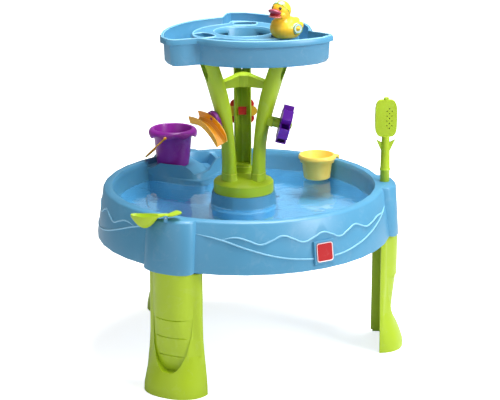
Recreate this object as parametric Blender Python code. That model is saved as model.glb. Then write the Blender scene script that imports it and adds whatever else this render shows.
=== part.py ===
"""Sand and water table: a round pool on three legs with a water tower and loose toys.

Metres, +Z up. The floor is at z = 0 and the part stands on its three legs.
"""

import math

import bmesh
import bpy
from mathutils import Matrix, Vector

# Clearances between pieces
CLEARANCE = 0.0003
SEAT_GAP = 0.0006

# Pool: rim, skirt, bosses over the legs, floor and pedestal
RIM_Z = 0.432
RIM_OUTER_R = 0.352
RIM_WIDTH = 0.025
RIM_ROUND = 0.005
WALL = 0.005
SKIRT_FLARE = 0.017
SKIRT_FOOT_Z = 0.309
BOSS_HALF_WIDTH = 0.0705
BOSS_PROUD_TOP = 0.031
BOSS_PROUD_FOOT = 0.0225
BOSS_DROP = 0.0045
BOSS_END = 0.96
BOSS_SQUARENESS = 2.8
BOSS_TURN = -1.2
POOL_FLOOR_Z = 0.335
POOL_WALL_DRAFT = 0.012
POOL_FILLET = 0.010
PEDESTAL_R = 0.0795
PEDESTAL_Z = 0.4125
PEDESTAL_STEP = 0.004
PEDESTAL_STEP_Z = 0.376

# Raised corner pool over the rear leg, with its ledge and spillway
RIDGE_BUCKET_GAP = 0.007
CORNER_BASIN = 0.057
RIDGE_WIDTH = 0.008
RIDGE_SQUARENESS = 5.0
CORNER_SIDE_ANGLE = 131.4
CORNER_SIDE_TURN = 1.2
CORNER_RIM_CUT = 0.010
SIDE_RIDGE_ANGLE = 2.0
CORNER_BLEND = 0.014
LEDGE_Z = 0.421
CORNER_FLOOR_Z = 0.400
LEDGE_END_ANGLE = 144.0
SPILL_Z = 0.410
SPILL_LOW_ANGLE = 145.0
SPILL_HIGH_ANGLE = 157.0
SPILL_RISE_ANGLE = 11.0
SPILL_FALL_ANGLE = 5.0
CORNER_STEP_Z = 0.396
CORNER_STEP = 0.012

# Legs
LEG_ANGLES = (-90.0, 30.0, 150.0)
LEG_NAMES = ("leg_front", "leg_right", "leg_rear")
LEG_STAND = 0.0215
LEG_DEPTH = 0.0485
LEG_TOE_REACH = 0.0195
LEG_TOE_HEIGHT = 0.090
LEG_PINCH = 0.0075
LEG_PINCH_Z = 0.100
LEG_PINCH_SPREAD = 0.055
LEG_HALF_WIDTH = 0.0705
LEG_FOOT_HALF_WIDTH = 0.0825
LEG_FLARE_HEIGHT = 0.170
LEG_WALL = 0.0045
LEG_SPIGOT_HALF_WIDTH = 0.056
LEG_SPIGOT_STEP = 0.0140
LEG_SPIGOT_TOP = 0.371
LEG_PLATE = 0.006
LEG_RIB_REACH = 0.014
LEG_RIB_FOOT_Z = 0.035
LEG_RIB = 0.004
LEG_SQUARENESS = 2.2
LEG_NOSE = 0.78
LEG_WING = 0.45
TONGUE_HALF_WIDTH = 0.0535
TONGUE_FOOT_Z = 0.057
TONGUE_TOP_Z = 0.192
TONGUE_FOOT_SINK = 0.018
TONGUE_TOP_SINK = 0.003

# Screws
SCREW_HEAD_R = 0.0045
SCREW_HEAD = 0.0035
SCREW_SHANK_R = 0.0022
SCREW_BITE = 0.012
SCREW_BOSS_R = 0.007
LEG_SCREW_INSET = 0.019
LEG_SCREW_SPREAD = 0.030

# Bare plate on the skirt
PLATE_ANGLE = -31.0
PLATE_Z = 0.349
PLATE_SIZE = 0.045
PLATE_THICK = 0.002
PLATE_PAD_MARGIN = 0.005
PLATE_PAD_PROUD = 0.004

# Tower base
BASE_R = 0.0754
BASE_EDGE_Z = 0.437
BASE_TOP_Z = 0.449
BASE_CAVITY_R = 0.060
BASE_CAVITY_Z = 0.441
BASE_SCREW_R = 0.032
BASE_SCREW_ANGLES = (60.0, 180.0, 300.0)
STUB_FLARE = 1.14
STUB_LEDGE = 1.035

# Posts
POST_ANGLES = (-120.0, 0.0, 120.0)
POST_NAMES = ("post_left", "post_right", "post_rear")
POST_FOOT_Z = 0.4653
POST_TOP_Z = 0.772
POST_FOOT_R = 0.042
POST_REACH = 0.067
POST_WIDTH = 0.044
POST_FOOT_DEPTH = 0.029
POST_WAIST_DEPTH = 0.0245
POST_TOP_DEPTH = 0.043
POST_WAIST = 0.2
POST_FULL = 0.7
POST_WALL = 0.0035
POST_RIB = 0.003
POST_RIB_DEPTH = 0.007
POST_PLATE = 0.005
POST_SQUARENESS = 2.8
POST_RINGS = 10
WINDOW_TIP_DROP = 0.072
WINDOW_SHOULDER_DROP = 0.050
WINDOW_TOP_DROP = 0.014
WINDOW_HALF_WIDTH = 0.0115

# Toy seats on the posts
SEAT_Z = 0.600
PLUG_SIZE = 0.020
PLUG_DEPTH = 0.010

# Brace between the posts
BRACE_FOOT_DROP = 0.091
BRACE_ARM_DROP = 0.080
BRACE_PEAK_DROP = 0.058
BRACE_HUB_R = 0.022
BRACE_PEAK_R = 0.009
BRACE_ARM_WIDTH = 0.022

# Upper tray
TRAY_RIM_RISE = 0.052
TRAY_FLOOR_SINK = 0.010
TRAY_WALL = 0.0045
TRAY_TIP_R = 0.244
TRAY_TIP_ROUND = 0.15
TRAY_TIP_SPREAD = 5.0
TRAY_WAIST_R = 0.169
TRAY_TIP_ANGLE = 6.0
TRAY_STEP_ANGLE = 11.0
TRAY_CURL = 2.7
TRAY_LIP = 0.009
TRAY_LIP_HEIGHT = 0.014
ISLAND_RISE = 0.045
ISLAND_TIP_R = 0.149
ISLAND_WAIST_R = 0.109
ISLAND_TIP_ANGLE = 9.0
ISLAND_CURL = 1.8
WELL_R = 0.068
WELL_WINDOW_WIDTH = 0.064
WELL_WINDOW_SILL = 0.006
WELL_WINDOW_HEIGHT = 0.035
POCKET_R = 0.107
POCKET_SHIFT = -0.008
POCKET_LENGTH = 0.042
POCKET_WIDTH = 0.060
POCKET_FLOOR = 0.010
DRIP_R = 0.0035
DRIP_OFFSET = -0.0305

# Water wheel, spinner and chute
WHEEL_R = 0.048
WHEEL_THICK = 0.027
WHEEL_SLANT = 26.0
WHEEL_STAND_OFF = 0.026
WHEEL_BOSS_R = 0.0125
WHEEL_CUPS = 6
WHEEL_PHASE = 41.0
WHEEL_CUP_WIDTH = 0.028
WHEEL_CUP_WALL = 0.003
WHEEL_HUB_R = 0.011
AXLE_R = 0.004
CAP_R = 0.008
CAP_THICK = 0.004
SPINNER_R = 0.038
SPINNER_PETAL_R = 0.013
SPINNER_PETALS = 4
SPINNER_THICK = 0.007
SPINNER_STAND_OFF = 0.006
SPINNER_BOSS_R = 0.011
CHUTE_SLANT = 12.0
HUB_R = 0.018
HUB_THICK = 0.013
CHUTE_WIDTH = 0.036
CHUTE_DEPTH = 0.024
CHUTE_WALL = 0.0025
CHUTE_BACK = 0.051
CHUTE_FRONT = 0.042
CHUTE_NOSE = 0.26
CHUTE_TOP = 0.029
CHUTE_DROP = 0.068
CHUTE_STATIONS = 14
CHUTE_PIVOT_Y = -0.008
CHUTE_PIVOT_Z = 0.012

# Flipper on the front boss
FLIPPER_PIVOT_X = -0.010
FLIPPER_OUTSET = 0.019
FLIPPER_HEADING = 208.0
FLIPPER_PIVOT_RISE = 0.0080
FLIPPER_THICK = 0.0025
FLIPPER_HALF_WIDTH = 0.0178
FLIPPER_BOWL = 0.028
BOWL_MIDDLE = 0.58
FLIPPER_BOW = 0.004
FLIPPER_REACH = 0.082
FLIPPER_THUMB = 0.037
FLIPPER_WAIST = 0.0105
THUMB_SPREAD = 0.9
PIN_R = 0.0018
BARREL_R = 0.0042
LUG_THICK = 0.004

# Bucket and bail
BUCKET_INSET = 0.0602287
BUCKET_ANGLE = 157.2136
BUCKET_FOOT_R = 0.042
BUCKET_MOUTH_R = 0.0525
BUCKET_HEIGHT = 0.0975
BUCKET_WALL = 0.0025
BUCKET_FLARE = 0.0115
BUCKET_DROOP = 0.0175
BUCKET_WAVES = 8
BUCKET_WAVE = 0.003
BAIL_AXIS_ANGLE = -77.5
BAIL_DROP = 0.0135
BAIL_R = 0.0021
BAIL_BALL_R = 0.0042
BAIL_REACH = 0.099
BAIL_REST_ANGLE = 43.5

# Cup
CUP_ANGLE = 74.8
CUP_MOUTH_R = 0.0395
CUP_FOOT_R = 0.0350
CUP_DEPTH = 0.045
CUP_WALL = 0.003
CUP_FLANGE_R = 0.0495
CUP_FLANGE = 0.019
CUP_WALL_GAP = 0.004
HOOK_WIDTH = 0.024
HOOK_THICK = 0.005
HOOK_LENGTH = 0.018

# Watering paddle and its socket
PADDLE_OUTSET = 0.004
PADDLE_LEG = 1
HANDLE_R = 0.0120
SOCKET_DEPTH = 0.048
HANDLE_TOP_Z = 0.540
HANDLE_COLLAR_Z = 0.463
HEAD_FOOT_Z = 0.547
HEAD_TOP_Z = 0.642
HEAD_WIDTH = 0.055
HEAD_THICK = 0.012
HEAD_FILL_WIDTH = 0.020
HEAD_NUB_R = 0.0063
HEAD_NUB = 0.005
HEAD_RIM = 0.003
HEAD_HOLE_R = 0.0016
HEAD_HOLE_PITCH = 0.0063
HEAD_HOLE_ROW = 0.0125
HEAD_HOLE_SHIFT = 0.0080
HEAD_HOLE_COLUMNS = (4, 5, 4)
LEAF_REACH = 0.012
LEAF_HEIGHT = 0.038

# Duck
DUCK_R = 0.1256
DUCK_ANGLE = -7.7
DUCK_HEADING = -84.0
DUCK_LENGTH = 0.084
DUCK_WIDTH = 0.074
DUCK_BODY_HEIGHT = 0.060
DUCK_HEAD_R = 0.0245
DUCK_HEIGHT = 0.0915

# Drain plug in the pool floor
DRAIN_INSET = 0.122
DRAIN_ANGLE = 92.0
DRAIN_HOLE_R = 0.011
DRAIN_FLANGE_R = 0.016
DRAIN_FLANGE = 0.004
DRAIN_GRIP = 0.010

# Sizes that follow from the ones above
RIM_INNER_R = RIM_OUTER_R - RIM_WIDTH
SKIRT_FOOT_R = RIM_OUTER_R + SKIRT_FLARE
LEG_FACE_R = SKIRT_FOOT_R + LEG_STAND
LEG_INNER_R = LEG_FACE_R - LEG_DEPTH
LEG_TOE_R = LEG_FACE_R + LEG_TOE_REACH
LEG_SPIGOT_FACE_R = LEG_FACE_R - LEG_SPIGOT_STEP
LEG_RIB_R = LEG_INNER_R - LEG_RIB_REACH
LEG_SCREW_R = LEG_INNER_R + LEG_SCREW_INSET
TONGUE_FOOT_R = LEG_FACE_R - TONGUE_FOOT_SINK
TONGUE_TOP_R = LEG_FACE_R - TONGUE_TOP_SINK
BUCKET_R = RIM_OUTER_R - BUCKET_INSET
BUCKET_X = BUCKET_R * math.cos(math.radians(BUCKET_ANGLE))
BUCKET_Y = BUCKET_R * math.sin(math.radians(BUCKET_ANGLE))
RIDGE_FRONT_Y = BUCKET_Y - BUCKET_FOOT_R - RIDGE_BUCKET_GAP
RIDGE_SIDE_X = -BUCKET_X - BUCKET_FOOT_R - CORNER_BASIN
FLIPPER_PIVOT_R = RIM_OUTER_R + FLIPPER_OUTSET
PADDLE_R = RIM_OUTER_R + PADDLE_OUTSET
DRAIN_R = RIM_INNER_R - DRAIN_INSET
BOSS_HALF_ANGLE = math.degrees(math.asin(BOSS_HALF_WIDTH / SKIRT_FOOT_R))
BOSS_FOOT_Z = SKIRT_FOOT_Z - BOSS_DROP
RIDGE_END_ANGLE = 180.0 - math.degrees(math.asin(RIDGE_FRONT_Y / RIM_INNER_R))
WINDOW_TIP_Z = POST_TOP_Z - WINDOW_TIP_DROP
WINDOW_SHOULDER_Z = POST_TOP_Z - WINDOW_SHOULDER_DROP
WINDOW_TOP_Z = POST_TOP_Z - WINDOW_TOP_DROP
BRACE_FOOT_Z = POST_TOP_Z - BRACE_FOOT_DROP
BRACE_ARM_Z = POST_TOP_Z - BRACE_ARM_DROP
BRACE_PEAK_Z = POST_TOP_Z - BRACE_PEAK_DROP
TRAY_RIM_Z = POST_TOP_Z + TRAY_RIM_RISE
TRAY_FLOOR_Z = POST_TOP_Z - TRAY_FLOOR_SINK
WELL_WINDOW_LOW = TRAY_FLOOR_Z + WELL_WINDOW_SILL
WELL_WINDOW_HIGH = WELL_WINDOW_LOW + WELL_WINDOW_HEIGHT
ISLAND_Z = POST_TOP_Z + ISLAND_RISE
ISLAND_UNDER_Z = ISLAND_Z - TRAY_WALL
TRAY_SCREW_R = POST_FOOT_R + POST_REACH - SCREW_HEAD_R
POCKET_FLOOR_Z = POST_TOP_Z + CLEARANCE + POCKET_FLOOR
CENTRE_SHIFT = (LEG_TOE_R - SKIRT_FOOT_R) / 2.0

# Colours (linear RGB) and roughness of the moulded plastics
BLUE = ((0.10, 0.36, 0.62), 0.38)
LIME = ((0.40, 0.58, 0.02), 0.42)
PURPLE = ((0.22, 0.015, 0.34), 0.30)
DEEP_PURPLE = ((0.11, 0.01, 0.32), 0.35)
ORANGE = ((0.88, 0.38, 0.02), 0.35)
YELLOW = ((0.91, 0.62, 0.09), 0.35)
DUCK_YELLOW = ((0.94, 0.56, 0.03), 0.35)
RED = ((0.68, 0.02, 0.01), 0.35)
GOLD = ((0.70, 0.40, 0.03), 0.35)
STEEL = ((0.55, 0.55, 0.55), 0.35)


def clear_scene():
    """Remove every object of the open scene."""
    for item in list(bpy.data.objects):
        bpy.data.objects.remove(item, do_unlink=True)


def smooth_step(low, high, value):
    """Rise smoothly from 0 at low to 1 at high."""
    share = min(1.0, max(0.0, (value - low) / (high - low)))
    return share * share * (3.0 - 2.0 * share)


def mix(first, second, share):
    """Value between first and second."""
    return first + (second - first) * share


def polar(radius, degrees, height):
    """Point at a radius and an angle round the tower's axis."""
    angle = math.radians(degrees)
    return Vector((radius * math.cos(angle), radius * math.sin(angle), height))


def turn(degrees, axis="Z"):
    """Rotation matrix about one axis."""
    return Matrix.Rotation(math.radians(degrees), 4, axis)


def loft(rings, closed=False):
    """Skin rings of equal point counts; a ring of one point is a pole."""
    bm = bmesh.new()
    rows = [[bm.verts.new(point) for point in ring] for ring in rings]
    pairs = list(zip(rows, rows[1:]))
    if closed:
        pairs.append((rows[-1], rows[0]))
    for lower, upper in pairs:
        count = max(len(lower), len(upper))
        for i in range(count):
            j = (i + 1) % count
            corners = [lower[i % len(lower)], lower[j % len(lower)]]
            corners += [upper[j % len(upper)], upper[i % len(upper)]]
            bm.faces.new(list(dict.fromkeys(corners)))
    if not closed:
        for row in (rows[0], rows[-1]):
            if len(row) > 1:
                bm.faces.new(row)
    bmesh.ops.recalc_face_normals(bm, faces=bm.faces)
    return bm


def turned(profile, segments, place=None):
    """Solid of revolution about Z through (radius, height) points, from pole to pole."""
    rings = []
    for radius, height in profile:
        if radius == 0.0:
            rings.append([Vector((0.0, 0.0, height))])
        else:
            rings.append([polar(radius, 360.0 * i / segments, height) for i in range(segments)])
    bm = loft(rings)
    if place is not None:
        bmesh.ops.transform(bm, matrix=place, verts=bm.verts)
    return bm


def add_box(bm, low, high, place=None):
    """Add a box between two corners."""
    low = Vector(low)
    high = Vector(high)
    size = high - low
    matrix = Matrix.Translation((low + high) / 2.0) @ Matrix.Diagonal((*size, 1.0))
    if place is not None:
        matrix = place @ matrix
    bmesh.ops.create_cube(bm, size=1.0, matrix=matrix)


def add_rod(bm, radius, low, high, segments=12, place=None):
    """Add an upright cylinder standing between two heights."""
    matrix = Matrix.Translation((0.0, 0.0, (low + high) / 2.0))
    if place is not None:
        matrix = place @ matrix
    bmesh.ops.create_cone(bm, cap_ends=True, segments=segments, radius1=radius, radius2=radius,
                          depth=high - low, matrix=matrix)


def add_prism(bm, outline, low, high, place=None):
    """Add an outline in the XY plane, drawn out between two heights."""
    lower = [bm.verts.new((x, y, low)) for x, y in outline]
    upper = [bm.verts.new((x, y, high)) for x, y in outline]
    faces = [bm.faces.new(lower[::-1]), bm.faces.new(upper)]
    for i in range(len(outline)):
        j = (i + 1) % len(outline)
        faces.append(bm.faces.new((lower[i], lower[j], upper[j], upper[i])))
    bmesh.ops.recalc_face_normals(bm, faces=faces)
    if place is not None:
        bmesh.ops.transform(bm, matrix=place, verts=lower + upper)


def add_mesh(bm, other):
    """Add a copy of another mesh under construction."""
    mesh = bpy.data.meshes.new("copy")
    other.to_mesh(mesh)
    bm.from_mesh(mesh)
    bpy.data.meshes.remove(mesh)


def combine(first, second, operation):
    """Boolean of two meshes; the first is replaced by the result, which is returned."""
    pair = []
    for bm in (first, second):
        mesh = bpy.data.meshes.new("operand")
        bm.to_mesh(mesh)
        bm.free()
        item = bpy.data.objects.new("operand", mesh)
        bpy.context.scene.collection.objects.link(item)
        pair.append(item)
    modifier = pair[0].modifiers.new("combine", "BOOLEAN")
    modifier.operation = operation
    modifier.solver = "EXACT"
    modifier.use_self = True
    modifier.object = pair[1]
    result = bmesh.new()
    result.from_object(pair[0], bpy.context.evaluated_depsgraph_get())
    for item in pair:
        mesh = item.data
        bpy.data.objects.remove(item, do_unlink=True)
        bpy.data.meshes.remove(mesh)
    bmesh.ops.remove_doubles(result, verts=result.verts, dist=1e-6)
    bmesh.ops.dissolve_degenerate(result, edges=result.edges, dist=1e-6)
    return result


def cut(body, tool):
    """Cut the tool out of the body."""
    return combine(body, tool, "DIFFERENCE")


def fuse(body, tool):
    """Join the tool to the body."""
    return combine(body, tool, "UNION")


def plastic(name, finish):
    """Principled material of one moulded colour."""
    colour, roughness = finish
    material = bpy.data.materials.new(name)
    material.use_nodes = True
    shader = material.node_tree.nodes["Principled BSDF"]
    shader.inputs["Base Color"].default_value = (*colour, 1.0)
    shader.inputs["Roughness"].default_value = roughness
    shader.inputs["Metallic"].default_value = 1.0 if finish is STEEL else 0.0
    return material


def empty(name, parent, location=(0.0, 0.0, 0.0), rotation=(0.0, 0.0, 0.0)):
    """Empty that carries pieces, for instance on a joint's axis."""
    item = bpy.data.objects.new(name, None)
    item.location = location
    item.rotation_euler = [math.radians(value) for value in rotation]
    item.parent = parent
    bpy.context.scene.collection.objects.link(item)
    return item


def piece(name, shape, finish, parent, rotation=0.0):
    """Named object of one sub-part, from a mesh under construction or a shared mesh."""
    if isinstance(shape, bmesh.types.BMesh):
        mesh = bpy.data.meshes.new(name)
        shape.to_mesh(mesh)
        shape.free()
        mesh.shade_smooth()
        mesh.set_sharp_from_angle(angle=math.radians(35.0))
        mesh.materials.append(plastic(name, finish))
    else:
        mesh = shape
    item = bpy.data.objects.new(name, mesh)
    item.rotation_euler = (0.0, 0.0, math.radians(rotation))
    item.parent = parent
    bpy.context.scene.collection.objects.link(item)
    return item


def boss_blend(theta):
    """1 over the middle of a leg boss, 0 on the plain skirt."""
    offset = min(abs((theta - leg - BOSS_TURN + 180.0) % 360.0 - 180.0) for leg in LEG_ANGLES)
    share = min(1.0, offset / (BOSS_END * BOSS_HALF_ANGLE))
    return math.sqrt(1.0 - share ** BOSS_SQUARENESS)


def ridge_radius(theta, inset=0.0):
    """Radius of the corner pool's ridge, or of its inside face; the rim's where there is none."""
    side_angle = CORNER_SIDE_ANGLE + math.degrees(1.5 * inset / RIM_INNER_R)
    end_angle = 180.0 - math.degrees(math.asin((RIDGE_FRONT_Y + inset) / RIM_INNER_R))
    if not side_angle - CORNER_SIDE_TURN < theta < end_angle:
        return RIM_INNER_R
    back = math.radians(180.0 - theta)
    front = (RIDGE_FRONT_Y + inset) / math.sin(back)
    side = (RIDGE_SIDE_X + inset) / math.cos(back)
    radius = (front ** RIDGE_SQUARENESS + side ** RIDGE_SQUARENESS) ** (1.0 / RIDGE_SQUARENESS)
    turn_share = min(1.0, (theta - side_angle) / CORNER_SIDE_TURN + 1.0)
    return min(RIM_INNER_R, mix(RIM_INNER_R, radius, turn_share))


def crest_height(theta):
    """Height of the corner pool's ridge, low at the spillway."""
    left = smooth_step(SPILL_HIGH_ANGLE, SPILL_HIGH_ANGLE + SPILL_FALL_ANGLE, theta)
    right = 1.0 - smooth_step(SPILL_LOW_ANGLE - SPILL_RISE_ANGLE, SPILL_LOW_ANGLE, theta)
    return mix(SPILL_Z, RIM_Z, max(left, right))


def basin_profile(theta):
    """Section of the pool at one angle, from the pedestal's top round to its underside."""
    boss = boss_blend(theta)
    ridge = ridge_radius(theta)
    corner = smooth_step(0.0, CORNER_BLEND, RIM_INNER_R - ridge)
    inside = ridge_radius(theta, WALL)
    inside_corner = smooth_step(0.0, CORNER_BLEND, RIM_INNER_R - inside)
    away = theta - CORNER_SIDE_ANGLE - SIDE_RIDGE_ANGLE
    inner = RIM_INNER_R + CORNER_RIM_CUT * corner * smooth_step(0.0, 4.0 * SIDE_RIDGE_ANGLE, away)
    outer = RIM_OUTER_R + BOSS_PROUD_TOP * boss
    foot_r = SKIRT_FOOT_R + BOSS_PROUD_FOOT * boss
    foot_z = SKIRT_FOOT_Z - BOSS_DROP * boss
    crest = crest_height(theta)
    ledge_share = smooth_step(LEDGE_END_ANGLE - SPILL_FALL_ANGLE, LEDGE_END_ANGLE, theta)
    under_shelf = mix(CORNER_FLOOR_Z, LEDGE_Z, ledge_share) - WALL
    side_top = RIM_Z - 1.2 * RIM_ROUND
    shelf = mix(side_top, under_shelf + WALL, smooth_step(0.0, 0.8 * SIDE_RIDGE_ANGLE, away))
    lip = min(shelf, crest - RIDGE_WIDTH / 4.0)
    under_lip = min(under_shelf, crest - RIDGE_WIDTH / 4.0 - WALL)
    pool_depth = RIM_Z - POOL_FLOOR_Z
    step_r = PEDESTAL_R + PEDESTAL_STEP

    def wall(drop, back=0.0):
        """Point on the plain pool wall, a drop below the rim."""
        return (RIM_INNER_R - POOL_WALL_DRAFT * drop / pool_depth + back, RIM_Z - drop)

    def either(plain, raised, share=corner):
        """Point between the plain wall and the raised corner."""
        return (mix(plain[0], raised[0], share), mix(plain[1], raised[1], share))

    def below(plain, raised):
        """The same on the underside of the moulding."""
        return either(plain, raised, inside_corner)

    far = inner - WALL
    fillet_drop = pool_depth - POOL_FILLET
    return [
        (PEDESTAL_R, PEDESTAL_Z),
        (step_r - PEDESTAL_STEP / 8.0, PEDESTAL_STEP_Z),
        (step_r + PEDESTAL_STEP, PEDESTAL_STEP_Z - PEDESTAL_STEP),
        (step_r + PEDESTAL_STEP, POOL_FLOOR_Z + POOL_FILLET),
        (step_r + PEDESTAL_STEP + POOL_FILLET, POOL_FLOOR_Z),
        either((wall(fillet_drop)[0] - POOL_FILLET, POOL_FLOOR_Z),
               (ridge - CORNER_STEP - 2.0 * RIDGE_WIDTH - POOL_FILLET, POOL_FLOOR_Z)),
        either(wall(fillet_drop), (ridge - CORNER_STEP - 2.0 * RIDGE_WIDTH, RIM_Z - fillet_drop)),
        either(wall(RIM_Z - CORNER_STEP_Z), (ridge - CORNER_STEP - RIDGE_WIDTH, CORNER_STEP_Z)),
        either(wall(0.034), (ridge - RIDGE_WIDTH, CORNER_STEP_Z + WALL / 2.0)),
        either(wall(0.030), (ridge - RIDGE_WIDTH / 4.0, crest)),
        either(wall(0.026), (min(ridge + 0.75 * RIDGE_WIDTH, far), crest)),
        either(wall(0.022), (min(ridge + 2.0 * RIDGE_WIDTH, far), lip)),
        either(wall(0.018), (min(ridge + 4.5 * RIDGE_WIDTH, far + WALL / 4.0), shelf)),
        either(wall(0.014), (far + WALL / 2.0, shelf)),
        (inner, RIM_Z - RIM_ROUND),
        (inner + 0.6 * RIM_ROUND, RIM_Z),
        (outer - RIM_ROUND, RIM_Z),
        (outer, RIM_Z - RIM_ROUND),
        (foot_r, foot_z),
        (foot_r - WALL, foot_z),
        (outer - WALL, RIM_Z - WALL),
        (inner + WALL, RIM_Z - WALL),
        below(wall(0.024, WALL), (far + WALL, under_shelf)),
        below(wall(0.028, WALL), (min(inside + 4.0 * RIDGE_WIDTH, far + 0.75 * WALL), under_shelf)),
        below(wall(0.032, WALL), (min(inside + RIDGE_WIDTH, far + WALL / 2.0), under_lip)),
        below(wall(0.038, WALL), (inside - RIDGE_WIDTH, CORNER_STEP_Z - WALL / 2.0)),
        below(wall(0.044, WALL), (inside - CORNER_STEP - RIDGE_WIDTH, CORNER_STEP_Z - WALL)),
        below(wall(fillet_drop, WALL),
              (inside - CORNER_STEP - 2.0 * RIDGE_WIDTH, RIM_Z - fillet_drop)),
        below((wall(fillet_drop)[0] - POOL_FILLET + WALL, POOL_FLOOR_Z - WALL),
              (inside - CORNER_STEP - 2.0 * RIDGE_WIDTH - POOL_FILLET, POOL_FLOOR_Z - WALL)),
        (step_r + PEDESTAL_STEP + POOL_FILLET - WALL, POOL_FLOOR_Z - WALL),
        (step_r + PEDESTAL_STEP - WALL, POOL_FLOOR_Z + POOL_FILLET - WALL),
        (PEDESTAL_R - WALL, PEDESTAL_Z - WALL),
    ]


def basin_angles():
    """Angles of the pool's sections, close together where the bosses and the ridge turn."""
    stations = [BOSS_END * share for share in (0.0, 0.28, 0.5, 0.67, 0.8, 0.89, 0.95, 1.0)]
    sector_steps = 10
    shift = math.degrees(1.5 * WALL / RIM_INNER_R)
    angles = [CORNER_SIDE_ANGLE, CORNER_SIDE_ANGLE - CORNER_SIDE_TURN]
    angles += [CORNER_SIDE_ANGLE + shift, CORNER_SIDE_ANGLE + shift - CORNER_SIDE_TURN]
    angles += [CORNER_SIDE_ANGLE + share * SIDE_RIDGE_ANGLE for share in (1.0, 1.4, 1.8, 3.0)]
    angles += [RIDGE_END_ANGLE - 2.0 * i for i in range(4)]
    corner_steps = 9
    first = CORNER_SIDE_ANGLE + 3.0 * SIDE_RIDGE_ANGLE
    last = SPILL_HIGH_ANGLE + SPILL_FALL_ANGLE
    angles += [mix(first, last, i / corner_steps) for i in range(1, corner_steps + 1)]
    clear = BOSS_END * BOSS_HALF_ANGLE
    gap = 360.0 / len(LEG_ANGLES) - 2.0 * clear
    for leg in LEG_ANGLES:
        middle = leg + BOSS_TURN
        angles += [middle + share * BOSS_HALF_ANGLE for share in stations]
        angles += [middle - share * BOSS_HALF_ANGLE for share in stations]
        angles += [middle + clear + gap * i / sector_steps for i in range(1, sector_steps)]
    kept = []
    for angle in sorted(angle % 360.0 for angle in angles):
        if not kept or angle - kept[-1] > 0.25:
            kept.append(angle)
    return kept


def leg_screw_places():
    """Places of the leg screws, seen from the tower's axis."""
    places = []
    for leg in LEG_ANGLES:
        for side in (-1.0, 1.0):
            places.append(turn(leg) @ Matrix.Translation((LEG_SCREW_R, side * LEG_SCREW_SPREAD, 0.0)))
    return places


def plate_frame():
    """Frame on the skirt behind the bare plate, X outwards."""
    slope = (SKIRT_FOOT_R - RIM_OUTER_R) / (RIM_Z - SKIRT_FOOT_Z)
    radius = RIM_OUTER_R + slope * (RIM_Z - PLATE_Z)
    lean = math.degrees(math.atan(slope))
    return turn(PLATE_ANGLE) @ Matrix.Translation((radius, 0.0, PLATE_Z)) @ turn(-lean, "Y")


def flipper_frame():
    """Frame of the flipper's pivot: X towards the bowl, Y along the pin."""
    spot = Vector((FLIPPER_PIVOT_X, -FLIPPER_PIVOT_R, RIM_Z + FLIPPER_PIVOT_RISE))
    return Matrix.Translation(spot) @ turn(FLIPPER_HEADING)


def paddle_frame():
    """Frame of the paddle's socket at the rim's level, X outwards."""
    return turn(LEG_ANGLES[PADDLE_LEG]) @ Matrix.Translation((PADDLE_R, 0.0, RIM_Z))


def drain_frame():
    """Frame of the drain on the pool floor."""
    return Matrix.Translation(polar(DRAIN_R, DRAIN_ANGLE, POOL_FLOOR_Z))


def make_basin(origin):
    """Pool with its skirt, leg bosses, pedestal and raised corner, in one moulding."""
    angles = basin_angles()
    profiles = [basin_profile(angle) for angle in angles]
    rings = [[Vector((0.0, 0.0, PEDESTAL_Z))]]
    for k in range(len(profiles[0])):
        rings.append([polar(*_at(profile[k], angle)) for profile, angle in zip(profiles, angles)])
    rings.append([Vector((0.0, 0.0, PEDESTAL_Z - WALL))])
    body = loft(rings)

    extras = bmesh.new()
    for place in leg_screw_places():
        add_rod(extras, SCREW_BOSS_R, LEG_SPIGOT_TOP + CLEARANCE, RIM_Z - WALL / 2.0, place=place)
    socket = paddle_frame()
    add_rod(extras, HANDLE_R + WALL, -SOCKET_DEPTH - WALL, -WALL / 2.0, 16, socket)
    pad = PLATE_SIZE / 2.0 + PLATE_PAD_MARGIN
    add_box(extras, (-WALL / 2.0, -pad, -pad), (PLATE_PAD_PROUD, pad, pad), plate_frame())
    lug_low = FLIPPER_WAIST + CLEARANCE
    for side in (-1.0, 1.0):
        ends = sorted((side * lug_low, side * (lug_low + LUG_THICK)))
        add_box(extras, (-BARREL_R, ends[0], -FLIPPER_PIVOT_RISE - WALL / 2.0),
                (BARREL_R, ends[1], BARREL_R), flipper_frame())
    body = fuse(body, extras)

    holes = bmesh.new()
    shank = SCREW_SHANK_R + CLEARANCE
    for place in leg_screw_places():
        add_rod(holes, shank, 0.0, LEG_SPIGOT_TOP + SCREW_BITE + CLEARANCE, 8, place)
    add_rod(holes, HANDLE_R + CLEARANCE, -SOCKET_DEPTH, WALL, 16, socket)
    across = flipper_frame() @ turn(90.0, "X")
    reach = lug_low + 2.0 * LUG_THICK
    add_rod(holes, PIN_R + CLEARANCE, -reach, reach, 8, across)
    add_rod(holes, DRAIN_HOLE_R, -2.0 * WALL, WALL, 16, drain_frame())
    for angle in BASE_SCREW_ANGLES:
        place = Matrix.Translation(polar(BASE_SCREW_R, angle, PEDESTAL_Z))
        add_rod(holes, shank, -2.0 * WALL, WALL, 8, place)
    body = cut(body, holes)
    return piece("basin", body, BLUE, origin)


def _at(point, angle):
    """Radius, angle and height of a section point."""
    return point[0], angle, point[1]


def leg_section(z):
    """Outer face radius, half width and share of the nose in it of a leg at one height."""
    toe = LEG_TOE_R - LEG_FACE_R
    face = LEG_FACE_R + toe * (1.0 - smooth_step(0.01, LEG_TOE_HEIGHT, z))
    face -= LEG_PINCH * math.exp(-((z - LEG_PINCH_Z) / LEG_PINCH_SPREAD) ** 2)
    flare = 1.0 - smooth_step(0.0, LEG_FLARE_HEIGHT, z)
    half = mix(LEG_HALF_WIDTH, LEG_FOOT_HALF_WIDTH, flare)
    return face, half, mix(LEG_NOSE, 1.0, flare)


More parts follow.
